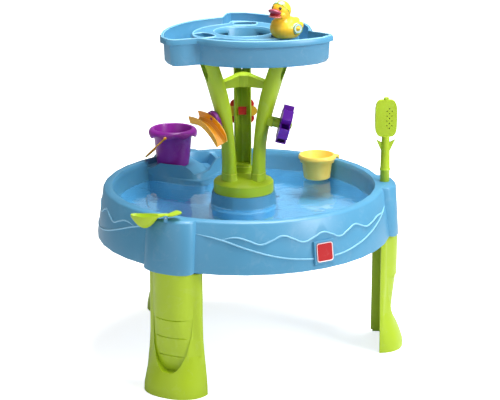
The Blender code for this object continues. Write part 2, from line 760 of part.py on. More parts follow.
def leg_bulge(across, nose):
    """Share of a leg's depth at a place across it: a rounded nose between two low wings."""
    power = 1.0 / LEG_SQUARENESS
    across = min(1.0, abs(across))
    front = (1.0 - min(1.0, across / nose) ** LEG_SQUARENESS) ** power
    wing = LEG_WING * (1.0 - across ** 3) ** (1.0 / 3.0)
    return min(1.0, (front ** 4 + wing ** 4) ** 0.25)


def leg_ring(face, half, nose, z, inset=0.0, back=0.0):
    """Half-round outline of a leg, flat towards the pool, optionally inset and drawn back."""
    points = []
    for i in range(19):
        across = math.sin(math.radians(-90.0 + 10.0 * i))
        x = LEG_INNER_R + (face - inset - LEG_INNER_R) * leg_bulge(across, nose)
        points.append(Vector((x, (half - inset) * across, z)))
    if back:
        points.append(Vector((LEG_INNER_R - back, half - inset, z)))
        points.append(Vector((LEG_INNER_R - back, inset - half, z)))
    return points


def tongue_radius(z):
    """Radius of the sunk panel on a leg's face at one height; the panel leans in to its foot."""
    share = (z - TONGUE_FOOT_Z) / (TONGUE_TOP_Z - TONGUE_FOOT_Z)
    return mix(TONGUE_FOOT_R, TONGUE_TOP_R, share)


def tongue_tool():
    """Cutter of the sunk panel, shaped like a tongue."""
    rings = []
    for share in (0.008, 0.03, 0.075, 0.15, 0.27, 0.45, 0.7, 1.0):
        z = mix(TONGUE_FOOT_Z, TONGUE_TOP_Z, share)
        reach = TONGUE_HALF_WIDTH * (1.0 - (1.0 - share) ** 2) ** 0.4
        face, half, nose = leg_section(z)
        ring = []
        for i in range(9):
            y = reach * (i / 4.0 - 1.0)
            x = LEG_INNER_R + (tongue_radius(z) - LEG_INNER_R) * leg_bulge(y / half, nose)
            ring.append(Vector((x, y, z)))
        ring += [Vector((LEG_TOE_R + LEG_WALL, side * reach, z)) for side in (1.0, -1.0)]
        rings.append(ring)
    return loft(rings)


def make_legs(origin):
    """Three legs: channels open towards the pool, with a spigot inside the boss."""
    shoulder = BOSS_FOOT_Z - CLEARANCE
    heights = (0.0, 0.018, 0.042, 0.066, 0.100, 0.140, 0.185, 0.240)
    outer = [leg_ring(*leg_section(z), z) for z in heights]
    outer.append(leg_ring(*leg_section(shoulder), shoulder))
    spigot = (LEG_SPIGOT_FACE_R, LEG_SPIGOT_HALF_WIDTH, 1.0)
    outer.append(leg_ring(*spigot, shoulder))
    outer.append(leg_ring(*spigot, LEG_SPIGOT_TOP))
    body = loft(outer)

    back = 0.012
    below = -0.010
    inner = [leg_ring(*leg_section(0.0), below, LEG_WALL, back)]
    knee = TONGUE_FOOT_Z - 2.0 * LEG_WALL
    toe_heights = (0.0, 0.4 * knee, 0.75 * knee)
    inner += [leg_ring(*leg_section(z), z, LEG_WALL, back) for z in toe_heights]
    for z in (knee,) + heights[3:]:
        face, half, nose = leg_section(z)
        inner.append(leg_ring(min(face, tongue_radius(z)), half, nose, z, LEG_WALL, back))
    throat = shoulder - LEG_WALL
    inner.append(leg_ring(*leg_section(throat), throat, LEG_WALL, back))
    inner.append(leg_ring(*spigot, shoulder, LEG_WALL, back))
    inner.append(leg_ring(*spigot, LEG_SPIGOT_TOP - LEG_PLATE, LEG_WALL, back))
    body = cut(body, loft(inner))

    rib = bmesh.new()
    add_box(rib, (LEG_RIB_R, -LEG_RIB / 2.0, LEG_RIB_FOOT_Z),
            (min(LEG_SPIGOT_FACE_R, TONGUE_FOOT_R) - LEG_WALL / 2.0, LEG_RIB / 2.0, shoulder - 2.0 * LEG_WALL))
    body = fuse(body, rib)

    tools = tongue_tool()
    for side in (-1.0, 1.0):
        place = Matrix.Translation((LEG_SCREW_R, side * LEG_SCREW_SPREAD, LEG_SPIGOT_TOP))
        add_rod(tools, SCREW_SHANK_R + CLEARANCE, -2.0 * LEG_PLATE, LEG_PLATE, 8, place)
    body = cut(body, tools)

    first = piece(LEG_NAMES[0], body, LIME, origin, LEG_ANGLES[0])
    for name, angle in zip(LEG_NAMES[1:], LEG_ANGLES[1:]):
        piece(name, first.data, LIME, origin, angle)


def screw_shape(length):
    """Screw pointing up, with the seat of its head at the origin."""
    profile = [(0.0, -SCREW_HEAD), (SCREW_HEAD_R, -SCREW_HEAD), (SCREW_HEAD_R, 0.0)]
    profile += [(SCREW_SHANK_R, 0.0), (SCREW_SHANK_R, length), (0.0, length)]
    return turned(profile, 8)


def make_screw_set(name, spots, length, origin):
    """Numbered copies of one screw, whose heads seat at the given spots."""
    shape = screw_shape(length)
    for number, spot in enumerate(spots, 1):
        screw = piece(f"{name}_{number}", shape, STEEL, origin)
        screw.location = spot
        shape = screw.data


def make_screws(origin):
    """Fasteners of the legs, the tower base, the posts and the tray, all driven from below."""
    seat = Vector((0.0, 0.0, LEG_SPIGOT_TOP - LEG_PLATE - CLEARANCE))
    spots = [place.translation + seat for place in leg_screw_places()]
    make_screw_set("leg_screw", spots, LEG_PLATE + SCREW_BITE, origin)
    seat_z = PEDESTAL_Z - WALL - CLEARANCE
    spots = [polar(BASE_SCREW_R, angle, seat_z) for angle in BASE_SCREW_ANGLES]
    make_screw_set("base_screw", spots, WALL + SCREW_BITE, origin)
    seat_z = BASE_CAVITY_Z - CLEARANCE
    spots = [polar(POST_FOOT_R, angle, seat_z) for angle in POST_ANGLES]
    make_screw_set("post_screw", spots, POST_FOOT_Z + POST_PLATE - BASE_CAVITY_Z, origin)
    seat_z = POST_TOP_Z - POST_PLATE - CLEARANCE
    spots = [polar(TRAY_SCREW_R, angle, seat_z) for angle in POST_ANGLES]
    make_screw_set("tray_screw", spots, POST_PLATE + 0.6 * POCKET_FLOOR, origin)


def make_plate(origin):
    """Bare square plate on its raised pad."""
    half = PLATE_SIZE / 2.0
    low = PLATE_PAD_PROUD + CLEARANCE
    bm = bmesh.new()
    add_box(bm, (low, -half, -half), (low + PLATE_THICK, half, half), plate_frame())
    corners = [edge for edge in bm.edges if edge.calc_length() < 1.5 * PLATE_THICK]
    bmesh.ops.bevel(bm, geom=corners, offset=0.2 * half, segments=3, profile=0.5, affect="EDGES")
    piece("badge_plate", bm, RED, origin)


def post_centre(z):
    """Radius of a post's middle at one height; the posts lean out like stems."""
    share = (z - POST_FOOT_Z) / (POST_TOP_Z - POST_FOOT_Z)
    return POST_FOOT_R + POST_REACH * max(0.0, share) ** 2


def post_half_sizes(z):
    """Half depth and half width of a post at one height."""
    share = min(1.0, max(0.0, (z - POST_FOOT_Z) / (POST_TOP_Z - POST_FOOT_Z)))
    if share > POST_WAIST:
        depth = mix(POST_WAIST_DEPTH, POST_TOP_DEPTH, smooth_step(POST_WAIST, POST_FULL, share))
    else:
        depth = mix(POST_FOOT_DEPTH, POST_WAIST_DEPTH, smooth_step(0.0, POST_WAIST, share))
    return depth / 2.0, POST_WIDTH / 2.0


def rounded_ring(x, half_x, half_y, z, squareness, count):
    """Rounded-square outline about a point on the X axis."""
    power = 2.0 / squareness
    points = []
    for i in range(count):
        angle = 2.0 * math.pi * i / count
        along = math.copysign(abs(math.cos(angle)) ** power, math.cos(angle))
        across = math.copysign(abs(math.sin(angle)) ** power, math.sin(angle))
        points.append(Vector((x + half_x * along, half_y * across, z)))
    return points


def post_ring(z, scale=1.0):
    """Outer outline of a post at one height."""
    half_depth, half_width = post_half_sizes(z)
    return rounded_ring(post_centre(z), half_depth * scale, half_width * scale, z, POST_SQUARENESS, 16)


def make_tower_base(origin):
    """Round collar on the pedestal with three stubs that carry the posts."""
    low = PEDESTAL_Z + CLEARANCE
    bevel = 0.05 * BASE_R
    profile = [(0.0, BASE_CAVITY_Z), (BASE_CAVITY_R, BASE_CAVITY_Z), (BASE_CAVITY_R, low), (BASE_R, low)]
    profile += [(BASE_R, BASE_EDGE_Z), (BASE_R - bevel, BASE_EDGE_Z + bevel)]
    profile += [(0.6 * BASE_R, BASE_TOP_Z - 0.2 * bevel), (0.0, BASE_TOP_Z)]
    body = turned(profile, 30)

    extras = bmesh.new()
    stub_top = POST_FOOT_Z - CLEARANCE
    flare_z = mix(BASE_TOP_Z, stub_top, 0.35)
    for angle in POST_ANGLES:
        rings = [post_ring(POST_FOOT_Z, STUB_FLARE), post_ring(POST_FOOT_Z, STUB_FLARE)]
        rings += [post_ring(POST_FOOT_Z, STUB_LEDGE), post_ring(POST_FOOT_Z, STUB_LEDGE)]
        for ring, z in zip(rings, (BASE_TOP_Z - WALL, BASE_TOP_Z - 0.2 * bevel, flare_z, stub_top)):
            for point in ring:
                point.z = z
        stub = loft(rings)
        bmesh.ops.transform(stub, matrix=turn(angle), verts=stub.verts)
        add_mesh(extras, stub)
        stub.free()
    for angle in BASE_SCREW_ANGLES:
        place = Matrix.Translation(polar(BASE_SCREW_R, angle, 0.0))
        add_rod(extras, SCREW_BOSS_R, low, BASE_CAVITY_Z + WALL / 2.0, place=place)
    body = fuse(body, extras)

    holes = bmesh.new()
    shank = SCREW_SHANK_R + CLEARANCE
    for angle in POST_ANGLES:
        place = Matrix.Translation(polar(POST_FOOT_R, angle, 0.0))
        add_rod(holes, shank, BASE_CAVITY_Z - WALL, POST_FOOT_Z + WALL, 8, place)
    for angle in BASE_SCREW_ANGLES:
        place = Matrix.Translation(polar(BASE_SCREW_R, angle, low))
        add_rod(holes, shank, -WALL, SCREW_BITE + CLEARANCE, 8, place)
    body = cut(body, holes)
    piece("tower_base", body, LIME, origin)


def seat_lean():
    """Lean of a post's outer face at the toy seats, in degrees."""
    span = 0.002
    rise = post_outer(SEAT_Z + span) - post_outer(SEAT_Z - span)
    return math.degrees(math.atan(rise / (2.0 * span)))


def post_outer(z):
    """Radius of a post's outer face at one height."""
    return post_centre(z) + post_half_sizes(z)[0]


def seat_matrix():
    """Frame of a toy seat on the post at angle 0: X out of the post, Z along it."""
    return Matrix.Translation((post_outer(SEAT_Z), 0.0, SEAT_Z)) @ turn(seat_lean(), "Y")


def make_posts(origin):
    """Three leaning posts: channels open inwards, with a rib, a toy seat and a top window."""
    heights = [mix(POST_FOOT_Z, POST_TOP_Z, i / (POST_RINGS - 1)) for i in range(POST_RINGS)]
    body = loft([post_ring(z) for z in heights])

    inner = []
    levels = [POST_FOOT_Z + POST_PLATE] + heights[1:-1] + [POST_TOP_Z - POST_PLATE]
    for z in levels:
        half_depth, half_width = post_half_sizes(z)
        outer_x = post_centre(z) + half_depth - POST_WALL
        inner_x = post_centre(z) - 2.0 * half_depth
        side = half_width - POST_WALL
        corner = 0.3 * side
        inner.append([Vector((inner_x, -side, z)), Vector((outer_x - corner, -side, z)),
                      Vector((outer_x, corner - side, z)), Vector((outer_x, side - corner, z)),
                      Vector((outer_x - corner, side, z)), Vector((inner_x, side, z))])
    body = cut(body, loft(inner))

    rib = []
    for z in levels:
        outer_x = post_outer(z) - POST_WALL / 2.0
        inner_x = post_outer(z) - POST_WALL - POST_RIB_DEPTH
        half = POST_RIB / 2.0
        rib.append([Vector((inner_x, -half, z)), Vector((outer_x, -half, z)),
                    Vector((outer_x, half, z)), Vector((inner_x, half, z))])
    rib[0] = [point - Vector((0.0, 0.0, POST_PLATE / 2.0)) for point in rib[0]]
    rib[-1] = [point + Vector((0.0, 0.0, POST_PLATE / 2.0)) for point in rib[-1]]
    body = fuse(body, loft(rib))

    tools = bmesh.new()
    half = PLUG_SIZE / 2.0 + CLEARANCE
    reach = 2.0 * (POST_WALL + POST_RIB_DEPTH)
    add_box(tools, (-reach, -half, -half), (reach, half, half), seat_matrix())
    outline = [(-WINDOW_TIP_Z, 0.0)]
    outline += [(-WINDOW_SHOULDER_Z, WINDOW_HALF_WIDTH), (-WINDOW_TOP_Z, WINDOW_HALF_WIDTH)]
    outline += [(-WINDOW_TOP_Z, -WINDOW_HALF_WIDTH), (-WINDOW_SHOULDER_Z, -WINDOW_HALF_WIDTH)]
    near = post_centre(WINDOW_TIP_Z) - POST_WALL
    add_prism(tools, outline, near, near + POST_REACH, turn(90.0, "Y"))
    shank = SCREW_SHANK_R + CLEARANCE
    foot = Matrix.Translation((POST_FOOT_R, 0.0, POST_FOOT_Z))
    add_rod(tools, shank, -POST_PLATE, 2.0 * POST_PLATE, 8, foot)
    top = Matrix.Translation((TRAY_SCREW_R, 0.0, POST_TOP_Z))
    add_rod(tools, shank, -2.0 * POST_PLATE, POST_PLATE, 8, top)
    body = cut(body, tools)

    first = piece(POST_NAMES[0], body, LIME, origin, POST_ANGLES[0])
    for name, angle in zip(POST_NAMES[1:], POST_ANGLES[1:]):
        piece(name, first.data, LIME, origin, angle)


def make_brace(origin):
    """Three-armed roof-shaped brace whose arms end in the posts' channels."""
    reach = post_outer(BRACE_FOOT_Z) - POST_WALL - POST_RIB_DEPTH - SEAT_GAP
    half = BRACE_ARM_WIDTH / 2.0
    lower = []
    edge = []
    crown = []
    for angle in POST_ANGLES:
        root = math.sqrt(BRACE_HUB_R ** 2 - half ** 2)
        plan = [Vector((root, -half, 0.0)), Vector((reach, -half, 0.0))]
        plan += [Vector((reach, half, 0.0)), Vector((root, half, 0.0))]
        plan.append(Vector((BRACE_HUB_R * math.cos(math.pi / 3.0), BRACE_HUB_R * math.sin(math.pi / 3.0), 0.0)))
        for point in plan:
            share = (point.length - BRACE_PEAK_R) / (reach - BRACE_PEAK_R)
            spot = turn(angle) @ point
            lower.append(Vector((spot.x, spot.y, BRACE_FOOT_Z)))
            edge.append(Vector((spot.x, spot.y, mix(BRACE_PEAK_Z, BRACE_ARM_Z, min(1.0, share)))))
            top = spot.normalized() * BRACE_PEAK_R
            crown.append(Vector((top.x, top.y, BRACE_PEAK_Z)))
    body = loft([lower, edge, crown, [Vector((0.0, 0.0, BRACE_PEAK_Z + BRACE_PEAK_R / 8.0))]])
    piece("tower_brace", body, LIME, origin)


def swirl(theta, tip_angle, curl):
    """1 at the tips of the three lobes, falling away clockwise to 0 and stepping back up."""
    lobe = 360.0 / len(POST_ANGLES)
    back = (tip_angle - theta) % lobe
    sweep = lobe - TRAY_STEP_ANGLE
    blunt = 1.0 - TRAY_TIP_ROUND * math.exp(-(min(back, lobe - back) / TRAY_TIP_SPREAD) ** 2)
    if back <= sweep:
        return blunt * (1.0 - back / sweep) ** curl
    return blunt * smooth_step(sweep, lobe, back)


def tray_angles():
    """Angles of the tray's sections, closer together at the lobes' steps."""
    lobe = 360.0 / len(POST_ANGLES)
    sweep = lobe - TRAY_STEP_ANGLE
    backs = [sweep * (i / 11.0) for i in range(11)]
    backs += [sweep + TRAY_STEP_ANGLE * i / 4.0 for i in range(4)]
    backs += [lobe - ISLAND_TIP_ANGLE + TRAY_TIP_ANGLE + TRAY_STEP_ANGLE * (i - 2) / 4.0 for i in range(3)]
    kept = []
    for angle in sorted((TRAY_TIP_ANGLE - back + lobe * k) % 360.0 for back in backs for k in range(3)):
        if not kept or angle - kept[-1] > 0.6:
            kept.append(angle)
    return kept


def tray_profile(theta):
    """Closed section of the tray at one angle, from the well round over the rim and back."""
    rim = mix(TRAY_WAIST_R, TRAY_TIP_R, swirl(theta, TRAY_TIP_ANGLE, TRAY_CURL))
    island = mix(ISLAND_WAIST_R, ISLAND_TIP_R, swirl(theta, ISLAND_TIP_ANGLE, ISLAND_CURL))
    wall = rim - TRAY_LIP
    base = TRAY_FLOOR_Z - TRAY_WALL
    bend = 2.0 * TRAY_WALL
    return [
        (WELL_R, base),
        (WELL_R, ISLAND_Z - RIM_ROUND),
        (WELL_R + RIM_ROUND, ISLAND_Z),
        (island - RIM_ROUND, ISLAND_Z),
        (island, ISLAND_Z - RIM_ROUND),
        (island + RIM_ROUND, TRAY_FLOOR_Z + RIM_ROUND),
        (island + 2.0 * RIM_ROUND, TRAY_FLOOR_Z),
        (wall - bend - TRAY_WALL, TRAY_FLOOR_Z),
        (wall - TRAY_WALL, TRAY_FLOOR_Z + bend),
        (rim - TRAY_LIP, TRAY_RIM_Z - 0.2 * RIM_ROUND),
        (rim - 0.4 * TRAY_LIP, TRAY_RIM_Z),
        (rim, TRAY_RIM_Z - RIM_ROUND),
        (rim, TRAY_RIM_Z - TRAY_LIP_HEIGHT),
        (wall, TRAY_RIM_Z - TRAY_LIP_HEIGHT),
        (wall - 0.5 * TRAY_WALL, base + bend),
        (wall - bend, base),
        (island + RIM_ROUND, base),
        (island - TRAY_WALL, ISLAND_UNDER_Z - RIM_ROUND),
        (island - RIM_ROUND - TRAY_WALL, ISLAND_UNDER_Z),
        (WELL_R + TRAY_WALL, ISLAND_UNDER_Z),
        (WELL_R + TRAY_WALL, base),
    ]


def pocket_outline(margin):
    """Rounded outline of a drip pocket, with its middle on the X axis."""
    ring = rounded_ring(POCKET_R, POCKET_LENGTH / 2.0 + margin, POCKET_WIDTH / 2.0 + margin, 0.0, 3.0, 16)
    return [(point.x, point.y + POCKET_SHIFT) for point in ring]


def make_tray(origin):
    """Upper tray: swirled channel round an island with drip pockets and an open well."""
    angles = tray_angles()
    profiles = [tray_profile(angle) for angle in angles]
    rings = []
    for k in range(len(profiles[0])):
        rings.append([polar(*_at(profile[k], angle)) for profile, angle in zip(profiles, angles)])
    body = loft(rings, closed=True)

    cups = bmesh.new()
    under = POCKET_FLOOR_Z - POCKET_FLOOR
    for angle in POST_ANGLES:
        add_prism(cups, pocket_outline(TRAY_WALL / 2.0), under, ISLAND_Z - TRAY_WALL / 2.0, turn(angle))
    body = fuse(body, cups)

    tools = bmesh.new()
    for angle in POST_ANGLES:
        place = turn(angle)
        add_prism(tools, pocket_outline(0.0), POCKET_FLOOR_Z, ISLAND_Z + WALL, place)
        drip = place @ Matrix.Translation((POCKET_R, DRIP_OFFSET, 0.0))
        add_rod(tools, DRIP_R, under - WALL, POCKET_FLOOR_Z + WALL, 8, drip)
        screw = place @ Matrix.Translation((TRAY_SCREW_R, 0.0, under))
        add_rod(tools, SCREW_SHANK_R + CLEARANCE, -WALL, 0.6 * POCKET_FLOOR + CLEARANCE, 8, screw)
        half = WELL_WINDOW_WIDTH / 2.0
        add_box(tools, (WELL_R - 4.0 * WALL, -half, WELL_WINDOW_LOW),
                (WELL_R + 2.0 * TRAY_WALL, half, WELL_WINDOW_HIGH), turn(angle + 60.0))
    body = cut(body, tools)
    piece("upper_tray", body, BLUE, origin)


def clear_start(boss_r, slant):
    """Distance along a slanted axis at which a round boss clears the post."""
    slope = math.radians(slant)
    return (SEAT_GAP + boss_r * math.sin(slope)) / math.cos(slope)


def add_plug(bm, boss_r, length, slant=0.0):
    """Square plug through the post and a round boss that stands off it, square or slanted."""
    half = PLUG_SIZE / 2.0
    start = clear_start(boss_r, slant)
    add_box(bm, (-PLUG_DEPTH, -half, -half), (mix(start, length, 0.4), half, half))
    boss = bmesh.new()
    add_rod(boss, boss_r, start, length, 16, turn(slant) @ turn(90.0, "Y"))
    return fuse(bm, boss)


def add_axle(bm, start, end, slant=0.0):
    """Round axle along X, or slanted from it."""
    axle = bmesh.new()
    add_rod(axle, AXLE_R, start, end, 12, turn(slant) @ turn(90.0, "Y"))
    return fuse(bm, axle)


def make_cap(name, start, finish, seat):
    """Cap pressed on the end of an axle."""
    hole_r = AXLE_R + CLEARANCE
    inside = start + 0.6 * CAP_THICK
    profile = [(0.0, inside), (hole_r, inside), (hole_r, start), (CAP_R, start)]
    profile += [(CAP_R, start + 0.6 * CAP_THICK), (0.6 * CAP_R, start + CAP_THICK), (0.0, start + CAP_THICK)]
    piece(name, turned(profile, 16, turn(90.0, "Y")), finish, seat)


def make_wheel(seat):
    """Water wheel with cups, its mount on the right post and its cap."""
    start = WHEEL_STAND_OFF + CLEARANCE
    end = start + WHEEL_THICK
    mount = add_plug(bmesh.new(), WHEEL_BOSS_R, WHEEL_STAND_OFF, WHEEL_SLANT)
    mount = add_axle(mount, WHEEL_STAND_OFF - WALL / 2.0, end + CLEARANCE + CAP_THICK / 2.0, WHEEL_SLANT)
    piece("wheel_mount", mount, LIME, seat)
    axle = empty("wheel_axle", seat, (0.0, 0.0, 0.0), (0.0, 0.0, WHEEL_SLANT))

    wheel = bmesh.new()
    add_rod(wheel, WHEEL_HUB_R, start, end, 18, turn(90.0, "Y"))
    cups = bmesh.new()
    hollows = bmesh.new()
    half = WHEEL_CUP_WIDTH / 2.0
    for i in range(WHEEL_CUPS):
        place = turn(WHEEL_PHASE + 360.0 * i / WHEEL_CUPS, "X")
        inside = 0.75 * WHEEL_HUB_R
        add_box(cups, (start + WHEEL_CUP_WALL / 3.0, -half, inside),
                (end - WHEEL_CUP_WALL / 3.0, half, WHEEL_R), place)
        floor = WHEEL_HUB_R + 2.0 * WHEEL_CUP_WALL
        add_box(hollows, (start + 1.33 * WHEEL_CUP_WALL, WHEEL_CUP_WALL - half, floor),
                (end - 1.33 * WHEEL_CUP_WALL, half + CLEARANCE, WHEEL_R - WHEEL_CUP_WALL), place)
    wheel = fuse(wheel, cups)
    wheel = cut(wheel, hollows)
    bore = bmesh.new()
    add_rod(bore, AXLE_R + CLEARANCE, start - WALL, end + WALL, 12, turn(90.0, "Y"))
    wheel = cut(wheel, bore)
    piece("water_wheel", wheel, DEEP_PURPLE, axle)
    make_cap("wheel_cap", end + CLEARANCE, LIME, axle)


def make_flower(name, start, twist, finish, seat):
    """Flat flower of round petals that turns on an axle."""
    end = start + SPINNER_THICK
    body = bmesh.new()
    add_rod(body, SPINNER_R - 1.2 * SPINNER_PETAL_R, start, end, 20, turn(90.0, "Y"))
    petals = bmesh.new()
    for i in range(SPINNER_PETALS):
        place = turn(twist + 360.0 * i / SPINNER_PETALS, "X")
        place = place @ Matrix.Translation((0.0, 0.0, SPINNER_R - SPINNER_PETAL_R)) @ turn(90.0, "Y")
        add_rod(petals, SPINNER_PETAL_R, start + CLEARANCE, end - CLEARANCE, 14, place)
    body = fuse(body, petals)
    bore = bmesh.new()
    add_rod(bore, AXLE_R + CLEARANCE, start - WALL, end + WALL, 12, turn(90.0, "Y"))
    body = cut(body, bore)
    piece(name, body, finish, seat)
    return end + CLEARANCE


def make_spinner(seat):
    """Two-coloured flower spinner, its mount on the rear post and its cap."""
    start = SPINNER_STAND_OFF + CLEARANCE
    reach = start + 2.0 * (SPINNER_THICK + CLEARANCE) + CAP_THICK / 2.0
    mount = add_plug(bmesh.new(), SPINNER_BOSS_R, SPINNER_STAND_OFF)
    mount = add_axle(mount, SPINNER_STAND_OFF - WALL / 2.0, reach)
    piece("spinner_mount", mount, RED, seat)
    half_step = 180.0 / SPINNER_PETALS
    start = make_flower("spinner_back", start, 0.0, GOLD, seat)
    start = make_flower("spinner_front", start, half_step, RED, seat)
    make_cap("spinner_cap", start, RED, seat)


def chute_path(share):
    """Place of the chute's upper edge along its length, in the seat's YZ plane."""
    y = mix(-CHUTE_BACK, CHUTE_FRONT, share)
    return y, CHUTE_TOP - CHUTE_DROP * share ** 3


def chute_section(share):
    """U-shaped section of the chute, square to its path."""
    step = 0.01
    y, z = chute_path(share)
    ahead = chute_path(share + step)
    behind = chute_path(share - step)
    along = Vector((0.0, ahead[0] - behind[0], ahead[1] - behind[1])).normalized()
    down = Vector((0.0, along.z, -along.y))
    if down.z > 0.0:
        down = -down
    near = HUB_THICK + 2.0 * CLEARANCE
    half = CHUTE_WIDTH / 2.0
    middle = near + half
    corner = Vector((0.0, y, z))

    def at(across, depth):
        """Point of the section, across the chute and down from its edge."""
        return corner + Vector((middle + across, 0.0, 0.0)) + down * depth

    inside = half - CHUTE_WALL
    floor = CHUTE_DEPTH - CHUTE_WALL
    round_off = 0.35 * half
    nose = max(0.0, share - 1.0 + CHUTE_NOSE) / CHUTE_NOSE
    rim = 0.9 * (floor - round_off) * (1.0 - math.sqrt(1.0 - nose ** 2))
    return [
        at(-half, rim), at(-half, CHUTE_DEPTH - round_off), at(round_off - half, CHUTE_DEPTH),
        at(half - round_off, CHUTE_DEPTH), at(half, CHUTE_DEPTH - round_off), at(half, rim),
        at(inside, rim), at(inside, floor - round_off), at(inside - round_off, floor),
        at(round_off - inside, floor), at(-inside, floor - round_off), at(-inside, rim),
    ]


def make_chute(seat):
    """Tipping chute on a round hub at the left post, with the hub's mount."""
    slant = turn(CHUTE_SLANT)
    pivot = slant @ Matrix.Translation((0.0, CHUTE_PIVOT_Y, CHUTE_PIVOT_Z))
    outward = turn(90.0, "Y")
    mount = bmesh.new()
    half = PLUG_SIZE / 2.0
    start = clear_start(HUB_R, CHUTE_SLANT)
    add_box(mount, (-PLUG_DEPTH, -half, -half), (mix(start, HUB_THICK, 0.4), half, half))
    disc = bmesh.new()
    add_rod(disc, HUB_R, start, HUB_THICK, 24, pivot @ outward)
    mount = fuse(mount, disc)
    axle = bmesh.new()
    tip = HUB_THICK + CHUTE_WALL
    add_rod(axle, AXLE_R, HUB_THICK - WALL / 2.0, tip, 12, pivot @ outward)
    mount = fuse(mount, axle)
    piece("chute_hub", mount, PURPLE, seat)

    body = loft([chute_section(i / (CHUTE_STATIONS - 1)) for i in range(CHUTE_STATIONS)])
    spot = Vector((HUB_THICK, CHUTE_PIVOT_Y, CHUTE_PIVOT_Z))
    bmesh.ops.translate(body, vec=-spot, verts=body.verts)
    bore = bmesh.new()
    add_rod(bore, AXLE_R + CLEARANCE, -WALL, 2.0 * CHUTE_WALL, 12, outward)
    body = cut(body, bore)
    joint = empty("chute_pivot", seat, slant @ spot, (0.0, 0.0, CHUTE_SLANT))
    piece("chute", body, ORANGE, joint)


def flipper_section(s):
    """Dished section of the flipper at a place along it, bowl side positive."""
    between_lugs = 1.4 * BARREL_R
    past = max(0.0, abs(s) - between_lugs)
    if s >= 0.0:
        share = past / (FLIPPER_REACH - between_lugs)
        off = min(1.0, abs(share - BOWL_MIDDLE) / (1.0 - BOWL_MIDDLE))
        bowl = 1.0 - off ** 2
        wall = FLIPPER_THICK * (1.0 + 0.6 * smooth_step(0.0, 0.2, share) * off ** 2)
        bow = FLIPPER_BOW * math.sin(math.pi * share)
        half = mix(FLIPPER_WAIST, FLIPPER_HALF_WIDTH, smooth_step(0.0, 0.5, share))
        half *= math.sqrt(max(0.02, 1.0 - share ** 4))
        edge = BARREL_R + 0.3 * BARREL_R * smooth_step(0.6, 1.0, share)
        depth = FLIPPER_THICK / 2.0 + FLIPPER_BOWL * bowl
    else:
        share = past / (FLIPPER_THUMB - between_lugs)
        half = FLIPPER_WAIST * (1.0 + THUMB_SPREAD * math.sin(math.pi * share))
        half *= math.sqrt(max(0.05, 1.0 - share ** 6))
        edge = BARREL_R + 1.4 * BARREL_R * smooth_step(0.0, 0.7, share)
        depth = FLIPPER_THICK / 2.0
        wall = FLIPPER_THICK
        bow = 0.0
    top = []
    under = []
    for across in (-1.0, -0.7, -0.35, 0.0, 0.35, 0.7, 1.0):
        z = edge - depth * (1.0 - across ** 2)
        top.append(Vector((s, bow + half * across, z)))
        under.append(Vector((s, bow + 0.97 * half * across, z - wall)))
    return top + under[::-1]


def make_flipper(origin):
    """Leaf-shaped splash lever on the front boss, with its pin."""
    waist = 1.4 * BARREL_R
    stations = [mix(-waist, -FLIPPER_THUMB, share) for share in (1.0, 0.9, 0.6, 0.3, 0.0)]
    stations += [mix(waist, FLIPPER_REACH, share) for share in (0.0, 0.08, 0.16, 0.22, 0.3, 0.4, 0.5)]
    stations += [mix(waist, FLIPPER_REACH, share) for share in (0.6, 0.7, 0.8, 0.88, 0.95, 1.0)]
    body = loft([flipper_section(s) for s in stations])
    across = turn(90.0, "X")
    barrel = bmesh.new()
    half = FLIPPER_WAIST - CLEARANCE
    add_rod(barrel, BARREL_R, -half, half, 12, across)
    body = fuse(body, barrel)
    bore = bmesh.new()
    add_rod(bore, PIN_R + CLEARANCE, -2.0 * half, 2.0 * half, 8, across)
    body = cut(body, bore)
    frame = flipper_frame()
    joint = empty("flipper_pivot", origin, frame.translation, (0.0, 0.0, FLIPPER_HEADING))
    piece("flipper", body, LIME, joint)
    pin = bmesh.new()
    reach = FLIPPER_WAIST + CLEARANCE + LUG_THICK
    add_rod(pin, PIN_R, -reach, reach, 8, across)
    piece("flipper_pin", pin, STEEL, joint)


def bucket_pivot_z():
    """Height of the bail's pivots above the bucket's foot."""
    return BUCKET_HEIGHT - BAIL_DROP


def bucket_radius(z):
    """Outer radius of the bucket's wall at a height above its foot."""
    return mix(BUCKET_FOOT_R, BUCKET_MOUTH_R, z / BUCKET_HEIGHT)


def bucket_skirt():
    """Shoulder and lower edge of the bucket's drooping skirt, as radius and height."""
    shoulder = (BUCKET_MOUTH_R + 0.7 * BUCKET_FLARE, BUCKET_HEIGHT - 0.6 * BUCKET_WALL)
    edge = (BUCKET_MOUTH_R + BUCKET_FLARE, BUCKET_HEIGHT - BUCKET_DROOP)
    return shoulder, edge


def bail_span():
    """Half the distance between the bail's balls, which lie outside the skirt."""
    shoulder, edge = bucket_skirt()
    share = (shoulder[1] - bucket_pivot_z()) / (shoulder[1] - edge[1])
    return mix(shoulder[0], edge[0], share) + BAIL_BALL_R + CLEARANCE


